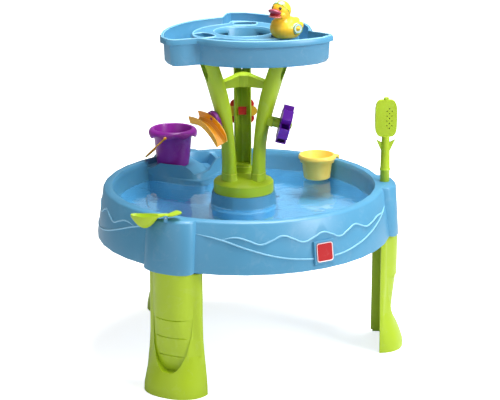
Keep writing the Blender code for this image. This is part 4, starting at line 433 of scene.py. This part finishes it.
# Water. The clear filling of the pool, shown as its top skin with slow ripples.
# It is cut to the pool's wall and to the pedestal, a hair inside both.
WATER_Z = 0.383
WATER_SKIN = 0.002
WATER_SHY = 0.0005
WATER_TINT = (0.72, 0.88, 0.95, 1.0)
OPEN_WATER = TABLE_AXIS + Vector((0.10, -0.17, 0.0))


def section_rings(node, height):
    """The closed outlines that a level plane cuts out of a node, each as a list of points."""
    form = weld(node)
    nearby = {}
    for edge in level_cut(form, height):
        if isinstance(edge, bmesh.types.BMEdge):
            first, second = edge.verts
            nearby.setdefault(first, []).append(second)
            nearby.setdefault(second, []).append(first)
    rings, seen = [], set()
    for start in nearby:
        if start in seen:
            continue
        ring, here = [], start
        while here is not None:
            seen.add(here)
            ring.append(here.co.copy())
            here = next((other for other in nearby[here] if other not in seen), None)
        rings.append(ring)
    form.free()
    return rings


def holds(ring, spot):
    """Whether an outline goes round a spot."""
    inside = False
    for a, b in zip(ring, ring[1:] + ring[:1]):
        if (a.y > spot.y) != (b.y > spot.y) and spot.x < a.x + (spot.y - a.y) * (b.x - a.x) / (b.y - a.y):
            inside = not inside
    return inside


def reach_of(ring):
    """The mean distance of an outline from the table's axis."""
    return sum(from_axis(point) for point in ring) / len(ring)


def drawn_in(ring, step):
    """The outline moved sideways by a step, inwards where the step is positive."""
    area = sum(a.x * b.y - b.x * a.y for a, b in zip(ring, ring[1:] + ring[:1]))
    moved = []
    for before, here, after in zip(ring[-1:] + ring[:-1], ring, ring[1:] + ring[:1]):
        along = (after - before).normalized()
        side = Vector((-along.y, along.x, 0.0)) * (1.0 if area > 0.0 else -1.0)
        moved.append(here + side * step)
    return moved


water = bpy.data.materials.new("pool_water")
water.use_nodes = True
tree = water.node_tree
shader = tree.nodes["Principled BSDF"]
shader.inputs["Base Color"].default_value = WATER_TINT
shader.inputs["Roughness"].default_value = 0.03
shader.inputs["IOR"].default_value = 1.33
shader.inputs["Transmission Weight"].default_value = 1.0
where = placed(tree, "ShaderNodeTexCoord")
ripple = placed(tree, "ShaderNodeTexNoise", {"Scale": 22.0, "Detail": 1.5, "Distortion": 1.2})
swell = placed(tree, "ShaderNodeBump", {"Strength": 0.14, "Distance": 0.004})
passes = placed(tree, "ShaderNodeBsdfTransparent")
path = placed(tree, "ShaderNodeLightPath")
choose = placed(tree, "ShaderNodeMixShader")
wire(tree,
     (where.outputs["Object"], ripple.inputs["Vector"]),
     (ripple.outputs["Fac"], swell.inputs["Height"]),
     (swell.outputs["Normal"], shader.inputs["Normal"]),
     (path.outputs["Is Shadow Ray"], choose.inputs[0]),
     (shader.outputs[0], choose.inputs[1]),
     (passes.outputs[0], choose.inputs[2]),
     (choose.outputs[0], tree.nodes["Material Output"].inputs["Surface"]))

rings = section_rings("basin", WATER_Z)
shore = min((ring for ring in rings if holds(ring, OPEN_WATER)), key=reach_of)
inner = [ring for ring in rings if not holds(ring, OPEN_WATER) and holds(ring, TABLE_AXIS)]
pedestal = max(inner, key=reach_of)
form = bmesh.new()
for ring in (drawn_in(shore, WATER_SHY), drawn_in(pedestal, -WATER_SHY)):
    knots = [form.verts.new(point) for point in ring]
    for pair in zip(knots, knots[1:] + knots[:1]):
        form.edges.new(pair)
bmesh.ops.triangle_fill(form, use_beauty=True, use_dissolve=False, edges=form.edges[:])
lower = bmesh.ops.extrude_face_region(form, geom=form.faces[:])["geom"]
sunk = [part for part in lower if isinstance(part, bmesh.types.BMVert)]
bmesh.ops.translate(form, verts=sunk, vec=(0.0, 0.0, -WATER_SKIN))
bmesh.ops.recalc_face_normals(form, faces=form.faces)
settle("pool_water", form, water, "table")

# Plate. A small square plate of red plastic with a pale raised edge, left bare.
# It is pressed on a pad of the skirt and leans with it.
PLATE_TURN = -31.0
PLATE_LEAN = math.degrees(math.atan((SKIRT_FOOT_R - SKIRT_TOP_R) / (SKIRT_TOP_Z - SKIRT_FOOT_Z)))
PLATE_SIZE = 0.045
PLATE_THICK = 0.002
PLATE_CORNER_R = 0.0065
PLATE_EDGE = 0.0019
PLATE_STEP = 0.0006
FINE_PEBBLE = 1400.0


def toy_plastic(name, pigment, gloss, depth=0.05):
    """A small injection-moulded plastic, with a finer pebble than the large mouldings."""
    return plastic(name, pigment, gloss, pebble=FINE_PEBBLE, depth=depth)


plate_red = toy_plastic("plate_red", tint(176, 24, 30), 0.30)
plate_edge = toy_plastic("plate_edge", tint(236, 222, 224), 0.34)
low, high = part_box("badge_plate")
form = bmesh.new()
bmesh.ops.create_cube(form, size=1.0, matrix=Matrix.Diagonal((PLATE_THICK, PLATE_SIZE, PLATE_SIZE, 1.0)))
corners = [edge for edge in form.edges if abs(edge.verts[0].co.x - edge.verts[1].co.x) > 1e-4]
bmesh.ops.bevel(form, geom=corners, offset=PLATE_CORNER_R, offset_type="OFFSET", affect="EDGES", segments=5,
                profile=0.5, material=-1)
front = max(form.faces, key=lambda face: face.calc_center_median().x)
border = bmesh.ops.inset_region(form, faces=[front], thickness=PLATE_EDGE, depth=0.0)["faces"]
bmesh.ops.translate(form, verts=front.verts[:], vec=(-PLATE_STEP, 0.0, 0.0))
bmesh.ops.inset_region(form, faces=[front], thickness=PLATE_STEP, depth=0.0)
for face in form.faces:
    face.material_index = 1 if face in border else 0
place = (Matrix.Translation((low + high) / 2.0) @ Matrix.Rotation(math.radians(PLATE_TURN), 4, "Z")
         @ Matrix.Rotation(math.radians(-PLATE_LEAN), 4, "Y"))
bmesh.ops.transform(form, matrix=place, verts=form.verts)
settle("bare_plate", form, [plate_red, plate_edge], "table", ["badge_plate"], "red_plastic")

# Drain plug. A soft blue plug with a finger grip, moulded in one piece.
# It is pushed into the hole of the pool's floor and pulled out by hand.
SMALL_ROUND = 0.0006


def dress(name, node, finish, body, slot, **finishing):
    """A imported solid, welded and settled as the piece that stands for it."""
    return settle(name, weld(node), finish, body, [node], slot, **finishing)


dress("drain_stopper", "drain_plug", sky, "drain_plug", "blue_plastic", round_off=SMALL_ROUND)

# Tower. A round lime collar on the pedestal, three leaning hollow posts screwed on its stubs and a roof-shaped
# brace between them, all moulded in the legs' plastic.
# A raised seam runs round the top of each stub, where the post begins; it is painted pale as a highlight.
SEAM_R = 0.0012
SEAM_SHY = 0.0006
SEAM_DOWN = 0.0015
LIP_CREASE = 70.0
LEAST_KNOTS = 8
POST_CREASE = 56.0


def lips(node, height, thick, shy, keep=lambda ring: True):
    """Round lips along the outlines of a node at a height, drawn into its material, as one bmesh."""
    form = bmesh.new()
    rings = [ring for ring in section_rings(node, height) if len(ring) > LEAST_KNOTS]
    for ring in [ring for ring in rings if keep(ring)]:
        around = sum(holds(other, ring[0]) for other in rings if other is not ring)
        points = drawn_in(ring, shy if around % 2 == 0 else -shy)
        line = bar_line(thick, 2)
        path = line.splines.new("POLY")
        path.use_cyclic_u = True
        path.points.add(len(points) - 1)
        for knot, point in zip(path.points, points):
            knot.co = (*point, 1.0)
        lay_bar(form, line)
    return form


# The collar's rounded edges take the paler lime, a painted highlight that also stands for wear.
dress("tower_collar", "tower_base", [lime, lime_highlight_and_wear], "table", "lime_plastic", round_off=0.0010, rubbed=True)
stub_top_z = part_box("tower_base")[1].z
# The seam is a pale round bar: a painted highlight along the top of each stub.
form = lips("tower_base", stub_top_z - SEAM_DOWN, SEAM_R, SEAM_SHY)
settle("stub_seams_painted_highlight", form, lime_highlight_and_wear, "table", slot="lime_plastic", crease=LIP_CREASE)
for node in ("post_left", "post_right", "post_rear"):
    dress(node + "_moulding", node, lime, "table", "lime_plastic", crease=POST_CREASE)
dress("brace_moulding", "tower_brace", lime, "table", "lime_plastic", round_off=0.0008)

# Upper tray. A swirled blue tray of the pool's plastic, with an island, drip pockets and a well, screwed on top
# of the posts.
# Rounded lips run round the rim, the island and its pockets, painted pale as highlights; the tray's rounded
# edges take the same paler blue, a painted highlight that also stands for wear.
ISLAND_LIP_R, ISLAND_LIP_SHY, ISLAND_LIP_DOWN = 0.0019, 0.0011, 0.0010
RIM_LIP_R, RIM_LIP_SHY, RIM_LIP_DOWN = 0.0015, 0.0009, 0.0012
RIM_BAND = 0.03
TRAY_CREASE = 46.0

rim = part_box("upper_tray")[1]
island_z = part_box("bath_duck")[0].z
form = lips("upper_tray", island_z - ISLAND_LIP_DOWN, ISLAND_LIP_R, ISLAND_LIP_SHY,
            keep=lambda ring: max(point.x for point in ring) < rim.x - RIM_BAND)
settle("island_lips_painted_highlight", form, sky_highlight_and_wear, "table", slot="blue_plastic", crease=LIP_CREASE)
form = lips("upper_tray", rim.z - RIM_LIP_DOWN, RIM_LIP_R, RIM_LIP_SHY)
settle("rim_lips_painted_highlight", form, sky_highlight_and_wear, "table", slot="blue_plastic", crease=LIP_CREASE)
dress("tray_moulding", "upper_tray", [sky, sky_highlight_and_wear], "table", "blue_plastic", crease=TRAY_CREASE,
      round_off=0.0020, rubbed=True)

# Chute. An orange trough of polypropylene whose rounded edges are painted pale, a painted highlight that also
# stands for wear.
# It tips on a purple hub plugged into the left post.
orange = toy_plastic("orange_polypropylene", tint(248, 172, 24), 0.34, depth=0.06)
purple = toy_plastic("purple_polypropylene", tint(142, 30, 152), 0.30)
orange_highlight_and_wear = toy_plastic("orange_rubbed", tint(255, 216, 128), 0.36, depth=0.06)
dress("chute_trough", "chute", [orange, orange_highlight_and_wear], "chute", "orange_plastic", crease=40.0, round_off=0.0008,
      rubbed=True)
dress("chute_boss", "chute_hub", purple, "table", "purple_plastic", round_off=SMALL_ROUND)

# Water wheel. A violet wheel of cups, moulded in polypropylene, whose rounded edges are painted pale, a painted
# highlight that also stands for wear.
# It turns on a lime spur of the right post and is held there by a lime cap on the axle.
violet = toy_plastic("violet_polypropylene", tint(104, 24, 170), 0.32)
violet_highlight_and_wear = toy_plastic("violet_rubbed", tint(158, 104, 208), 0.34)
dress("cup_wheel", "water_wheel", [violet, violet_highlight_and_wear], "water_wheel", "deep_purple_plastic", crease=34.0,
      round_off=0.0007, rubbed=True)
dress("wheel_spur", "wheel_mount", lime, "table", "lime_plastic", round_off=SMALL_ROUND)
dress("wheel_button", "wheel_cap", lime, "table", "lime_plastic", round_off=SMALL_ROUND)

# Spinner. A red flower and a yellow flower of polypropylene, fixed back to back.
# They turn together on a plug of the rear post, under a small cap.
PETAL_ROUND = 0.0009
red = toy_plastic("red_polypropylene", tint(222, 42, 32), 0.32)
gold = toy_plastic("gold_polypropylene", tint(226, 178, 48), 0.32)
dress("flower_front", "spinner_front", red, "spinner", "red_plastic", round_off=PETAL_ROUND)
dress("flower_back", "spinner_back", gold, "spinner", "gold_plastic", round_off=PETAL_ROUND)
dress("flower_plug", "spinner_mount", red, "table", "red_plastic", round_off=SMALL_ROUND)
dress("flower_button", "spinner_cap", gold, "table", "gold_plastic", round_off=SMALL_ROUND)

# Flipper. A lime lever with a bowl at its end, moulded in the legs' plastic.
# It is hinged on a steel pin between two lugs of the front boss.
# Its rounded edges take the paler lime, a painted highlight that also stands for wear.
dress("splash_lever", "flipper", [lime, lime_highlight_and_wear], "flipper", "lime_plastic", crease=50.0, round_off=0.0007,
      rubbed=True)

# Bucket. A purple bucket with a drooping scalloped lip, moulded in thin polypropylene.
# An orange bail snaps into two ears of the lip, and the bucket stands loose on the corner ledge.
BUCKET_FROM_AXIS = Vector((-0.269, 0.113, 0.0))
BUCKET_AXIS = TABLE_AXIS + BUCKET_FROM_AXIS + Vector((0.0, 0.0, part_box("bucket")[0].z))
BUCKET_STEPS = 96
BUCKET_LOBES = 8
BUCKET_LOW_LOBE = -77.5
BUCKET_SCALLOP = 0.0036
BUCKET_LIP_R, BUCKET_LIP_Z, BUCKET_LIP_DROP = 0.0575, 0.0945, 0.0130
BUCKET_CREASE = 60.0
BUCKET_TURN = ((0.0, 0.0), (0.0395, 0.0), (0.0414, 0.0007), (0.0421, 0.0026), (0.0466, 0.045), (0.0516, 0.0915),
               (0.0545, 0.0934), (0.0583, 0.0922), (0.0606, 0.0886), (0.0613, 0.0836), (0.0615, 0.0812),
               (0.0621, 0.0803), (0.0632, 0.0803), (0.0638, 0.0812), (0.0637, 0.0848), (0.0629, 0.0900),
               (0.0604, 0.0946), (0.0565, 0.0969), (0.0525, 0.0975), (0.0503, 0.0968), (0.0494, 0.0950),
               (0.0441, 0.045), (0.0397, 0.0050), (0.0380, 0.0030), (0.0360, 0.0025), (0.0, 0.0025))

form = bmesh.new()
knots = [form.verts.new((radius, 0.0, height)) for radius, height in BUCKET_TURN]
edges = [form.edges.new(pair) for pair in zip(knots, knots[1:])]
bmesh.ops.spin(form, geom=knots + edges, cent=(0, 0, 0), axis=(0, 0, 1), angle=math.tau, steps=BUCKET_STEPS,
               use_merge=True)
bmesh.ops.remove_doubles(form, verts=form.verts, dist=CUT_DIST)
bmesh.ops.recalc_face_normals(form, faces=form.faces)
for vert in form.verts:
    if math.hypot(vert.co.x, vert.co.y) > BUCKET_LIP_R and vert.co.z < BUCKET_LIP_Z:
        dip = math.cos(BUCKET_LOBES * (math.atan2(vert.co.y, vert.co.x) - math.radians(BUCKET_LOW_LOBE)))
        vert.co.z -= BUCKET_SCALLOP * dip * min(1.0, (BUCKET_LIP_Z - vert.co.z) / BUCKET_LIP_DROP)
bmesh.ops.translate(form, verts=form.verts, vec=BUCKET_AXIS)
settle("bucket_shell", form, purple, "bucket", ["bucket"], "purple_plastic", crease=BUCKET_CREASE)
dress("bail_wire", "bucket_bail", orange, "bucket_bail", "orange_plastic", crease=BUCKET_CREASE)

# Cup. A yellow cup of polypropylene with a deep collar.
# It hangs by its hook over the pool's rim and lifts off.
yellow = toy_plastic("yellow_polypropylene", tint(252, 218, 102), 0.32)
dress("cup_shell", "hook_cup", yellow, "hook_cup", "yellow_plastic", crease=34.0, round_off=0.0012)

# Watering paddle. A lime handle with leaves and a hollow pierced head, moulded in the legs' plastic.
# It stands in a socket of the right boss; the faces inside its head are painted dark lime as shade, and its
# rounded edges pale lime as a highlight that also stands for wear.
PADDLE_HEAD_Z = 0.55
PADDLE_HOLLOW = 0.014
PADDLE_RAY_START = 2e-5
painted_shade_lime = plastic("lime_painted_shade", tint(58, 78, 8), 0.60)
# Faces that look into the head's hollow take the dark lime: painted shade.
form = weld("watering_paddle")
walls = BVHTree.FromBMesh(form)
for face in form.faces:
    middle = face.calc_center_median()
    facing = walls.ray_cast(middle + PADDLE_RAY_START * face.normal, face.normal, PADDLE_HOLLOW)[0]
    if facing is not None and middle.z > PADDLE_HEAD_Z:
        face.material_index = 2
settle("paddle_moulding", form, [lime, lime_highlight_and_wear, painted_shade_lime], "watering_paddle", ["watering_paddle"],
       "lime_plastic", crease=34.0, round_off=0.0005, rubbed=True)

# Duck. A hollow bath duck of soft yellow vinyl with a coral bill, black eyes, each with a white dot as a
# painted glint, swimming goggles and arm bands.
# It is moulded in one piece, painted, and sits loose on the tray's island.
DUCK_HEADING = -104.0
DUCK_FROM_AXIS = Vector((0.12447, -0.01683, 0.0))
DUCK_SEAT = (Matrix.Translation(TABLE_AXIS + DUCK_FROM_AXIS + Vector((0.0, 0.0, island_z)))
             @ Matrix.Rotation(math.radians(DUCK_HEADING), 4, "Z"))
DUCK_HEAD = Vector((0.0170, 0.0, 0.0664))
DUCK_HEAD_R = 0.0236
DUCK_BASE_Z = 0.0006
DUCK_CREASE = 80.0
DUCK_GRAIN = 0.0010
EYE_SWING, EYE_LIFT = 34.0, 20.0
EYE_SIZE = (0.0084, 0.0064, 0.0034)
GLINT_ASIDE, GLINT_PROUD = 3.0, 0.0014
GLINT_SIZE = (0.0016, 0.0016, 0.0010)
LENS_SWING, LENS_LIFT, LENS_SUNK = 42.0, 58.0, 0.0012
LENS_SIZE = (0.0120, 0.0150, 0.0052)
LENS_OVAL = Matrix.Diagonal((0.88, 1.12, 1.0, 1.0))
LENS_RIM_R, LENS_RIM_THICK = 0.0070, 0.0012
STRAP_TILT, STRAP_THICK = -50.0, 0.0010
BAND_SIDE, BAND_Z = 0.0345, 0.0240
BAND_SWING, BAND_TIP = 75.0, 84.0
BAND_R, BAND_THICK, BAND_STRETCH = 0.0092, 0.0042, 1.5
PIPING_R, PIPING_THICK, PIPING_OFF = 0.0118, 0.0011, 0.0052
SIDES = (-1.0, 1.0)


def ball(form, place, size, steps=(28, 18), paint=0):
    """A round solid of three widths, added to a bmesh at a place."""
    made = bmesh.ops.create_uvsphere(form, u_segments=steps[0], v_segments=steps[1], radius=0.5,
                                     matrix=place @ Matrix.Diagonal((*size, 1.0)))["verts"]
    for face in {face for vert in made for face in vert.link_faces}:
        face.material_index = paint


def egg(form, centre, size, tilt=0.0, swing=0.0, paint=0):
    """A ball added to a bmesh: tilt lifts its front, swing turns it about the upright."""
    place = (Matrix.Translation(centre) @ Matrix.Rotation(math.radians(swing), 4, "Z")
             @ Matrix.Rotation(math.radians(-tilt), 4, "Y"))
    ball(form, place, size, paint=paint)


def hoop(form, place, radius, thick, stretch=1.0, paint=0):
    """A round hoop added to a bmesh, its axis along the place's own Z and stretched along it."""
    ring = bmesh.new()
    upright = Matrix.Translation((radius, 0.0, 0.0)) @ Matrix.Rotation(math.pi / 2.0, 4, "X")
    bmesh.ops.create_circle(ring, segments=12, radius=thick, matrix=upright)
    bmesh.ops.spin(ring, geom=ring.verts[:] + ring.edges[:], cent=(0, 0, 0), axis=(0, 0, 1), angle=math.tau,
                   steps=40, use_merge=True)
    bmesh.ops.recalc_face_normals(ring, faces=ring.faces)
    bmesh.ops.transform(ring, matrix=place @ Matrix.Diagonal((1.0, 1.0, stretch, 1.0)), verts=ring.verts)
    for face in ring.faces:
        face.material_index = paint
    mesh = bpy.data.meshes.new("hoop")
    ring.to_mesh(mesh)
    ring.free()
    form.from_mesh(mesh)
    bpy.data.meshes.remove(mesh)


def on_head(swing, lift, out):
    """A frame on the duck's head: Z straight out of it, at a distance from the head's middle."""
    facing = Matrix.Rotation(math.radians(swing), 4, "Z") @ Matrix.Rotation(math.radians(90.0 - lift), 4, "Y")
    return Matrix.Translation(DUCK_HEAD) @ facing @ Matrix.Translation((0.0, 0.0, out))


def seat_on_duck(name, form, finish, **kept):
    """Put a form made at the duck's own middle on its seat, as a piece of the duck."""
    bmesh.ops.transform(form, matrix=DUCK_SEAT, verts=form.verts)
    return settle(name, form, finish, "bath_duck", crease=DUCK_CREASE, **kept)


duck_vinyl = toy_plastic("duck_vinyl", tint(255, 204, 50), 0.30, depth=0.04)
bill_mauve = toy_plastic("bill_mauve", tint(170, 72, 96), 0.30, depth=0.04)
mouth_red = toy_plastic("mouth_red", tint(168, 22, 34), 0.32, depth=0.04)
bill_pink = toy_plastic("bill_pink", tint(232, 132, 122), 0.30, depth=0.04)
eye_black = toy_plastic("eye_black", tint(34, 22, 14), 0.16, depth=0.02)
eye_glint_white = toy_plastic("eye_glint_white", tint(246, 244, 238), 0.20, depth=0.02)
lens_aqua = toy_plastic("lens_aqua", tint(198, 236, 232), 0.18, depth=0.02)
strap_green = toy_plastic("strap_green", tint(150, 182, 62), 0.36, depth=0.04)
float_blue = toy_plastic("float_blue", tint(196, 228, 242), 0.26, depth=0.03)

form = bmesh.new()
egg(form, (0.0, 0.0, 0.0206), (0.0836, 0.0736, 0.0596))
egg(form, (0.0120, 0.0, 0.0260), (0.0560, 0.0600, 0.0500), tilt=18.0)
egg(form, (-0.0320, 0.0, 0.0340), (0.0260, 0.0260, 0.0150), tilt=-28.0)
egg(form, (0.0120, 0.0, 0.0470), (0.0400, 0.0380, 0.0340))
egg(form, DUCK_HEAD, (2.0 * DUCK_HEAD_R,) * 3)
for side in SIDES:
    egg(form, DUCK_HEAD + Vector((0.0110, side * 0.0120, -0.0080)), (0.0220, 0.0190, 0.0190))
    egg(form, (-0.0100, side * 0.0320, 0.0270), (0.0360, 0.0150, 0.0220), tilt=-14.0, swing=side * 6.0)
    egg(form, (0.0, side * 0.0365, 0.0240), (0.0130, 0.0150, 0.0130))
everything = form.verts[:] + form.edges[:] + form.faces[:]
bmesh.ops.bisect_plane(form, geom=everything, dist=CUT_DIST, plane_co=(0, 0, DUCK_BASE_Z), plane_no=(0, 0, 1),
                       clear_inner=True)
bmesh.ops.holes_fill(form, edges=[edge for edge in form.edges if edge.is_boundary], sides=0)
duck_body = seat_on_duck("duck_body", form, duck_vinyl, nodes=["bath_duck"], slot="duck_yellow")
melted = duck_body.modifiers.new("melted", "REMESH")
melted.mode = "VOXEL"
melted.voxel_size = DUCK_GRAIN
melted.use_smooth_shade = True
eased = duck_body.modifiers.new("eased", "SMOOTH")
eased.factor = 0.5
eased.iterations = 6

form = bmesh.new()
egg(form, DUCK_HEAD + Vector((0.0240, 0.0, -0.0010)), (0.0280, 0.0350, 0.0120), tilt=22.0, paint=0)
egg(form, DUCK_HEAD + Vector((0.0225, 0.0, -0.0080)), (0.0230, 0.0310, 0.0130), paint=1)
egg(form, DUCK_HEAD + Vector((0.0235, 0.0, -0.0125)), (0.0270, 0.0340, 0.0064), tilt=4.0, paint=2)
seat_on_duck("duck_bill", form, [bill_mauve, mouth_red, bill_pink])

form = bmesh.new()
for side in SIDES:
    ball(form, on_head(side * EYE_SWING, EYE_LIFT, DUCK_HEAD_R), EYE_SIZE, steps=(20, 12))
    # A small white ball on each eye is a painted glint.
    painted_glint = on_head(side * EYE_SWING + GLINT_ASIDE, EYE_LIFT + GLINT_ASIDE, DUCK_HEAD_R + GLINT_PROUD)
    ball(form, painted_glint, GLINT_SIZE, steps=(12, 8), paint=1)
seat_on_duck("duck_eyes", form, [eye_black, eye_glint_white])

form = bmesh.new()
for side in SIDES:
    lens = on_head(side * LENS_SWING, LENS_LIFT, DUCK_HEAD_R - LENS_SUNK)
    ball(form, lens, LENS_SIZE, steps=(24, 12))
    hoop(form, lens @ LENS_OVAL, LENS_RIM_R, LENS_RIM_THICK, paint=1)
strap = Matrix.Translation(DUCK_HEAD) @ Matrix.Rotation(math.radians(STRAP_TILT), 4, "Y")
hoop(form, strap, DUCK_HEAD_R, STRAP_THICK, paint=1)
seat_on_duck("duck_goggles", form, [lens_aqua, strap_green])

form = bmesh.new()
for side in SIDES:
    band = (Matrix.Translation((0.0, side * BAND_SIDE, BAND_Z))
            @ Matrix.Rotation(math.radians(side * BAND_SWING), 4, "Z")
            @ Matrix.Rotation(math.radians(BAND_TIP), 4, "Y"))
    hoop(form, band, BAND_R, BAND_THICK, stretch=BAND_STRETCH, paint=0)
    for edge in (-PIPING_OFF, PIPING_OFF):
        hoop(form, band @ Matrix.Translation((0.0, 0.0, edge)), PIPING_R, PIPING_THICK, paint=1)
seat_on_duck("duck_floats", form, [float_blue, strap_green])

# Screws and pin. Plated steel with a faint brushed grain; they keep the shape of their solids.
# The screws are driven from below, out of sight once the table stands, and the pin sits in the flipper's lugs.
steel = bpy.data.materials.new("plated_steel")
steel.use_nodes = True
tree = steel.node_tree
shader = tree.nodes["Principled BSDF"]
shader.inputs["Metallic"].default_value = 1.0
where = placed(tree, "ShaderNodeTexCoord")
brushed = placed(tree, "ShaderNodeTexNoise", {"Scale": 600.0})
grey = placed(tree, "ShaderNodeMapRange", {"To Min": 0.26, "To Max": 0.42})
tone = placed(tree, "ShaderNodeMix", {"A": (0.50, 0.50, 0.51, 1.0), "B": (0.66, 0.66, 0.67, 1.0)},
              data_type="RGBA")
wire(tree,
     (where.outputs["Object"], brushed.inputs["Vector"]),
     (brushed.outputs["Fac"], grey.inputs["Value"]),
     (brushed.outputs["Fac"], tone.inputs["Factor"]),
     (grey.outputs["Result"], shader.inputs["Roughness"]),
     (tone.outputs["Result"], shader.inputs["Base Color"]))
for node in ["flipper_pin"] + [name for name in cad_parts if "_screw_" in name]:
    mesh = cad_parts[node].data
    mesh.materials.clear()
    mesh.materials.append(steel)
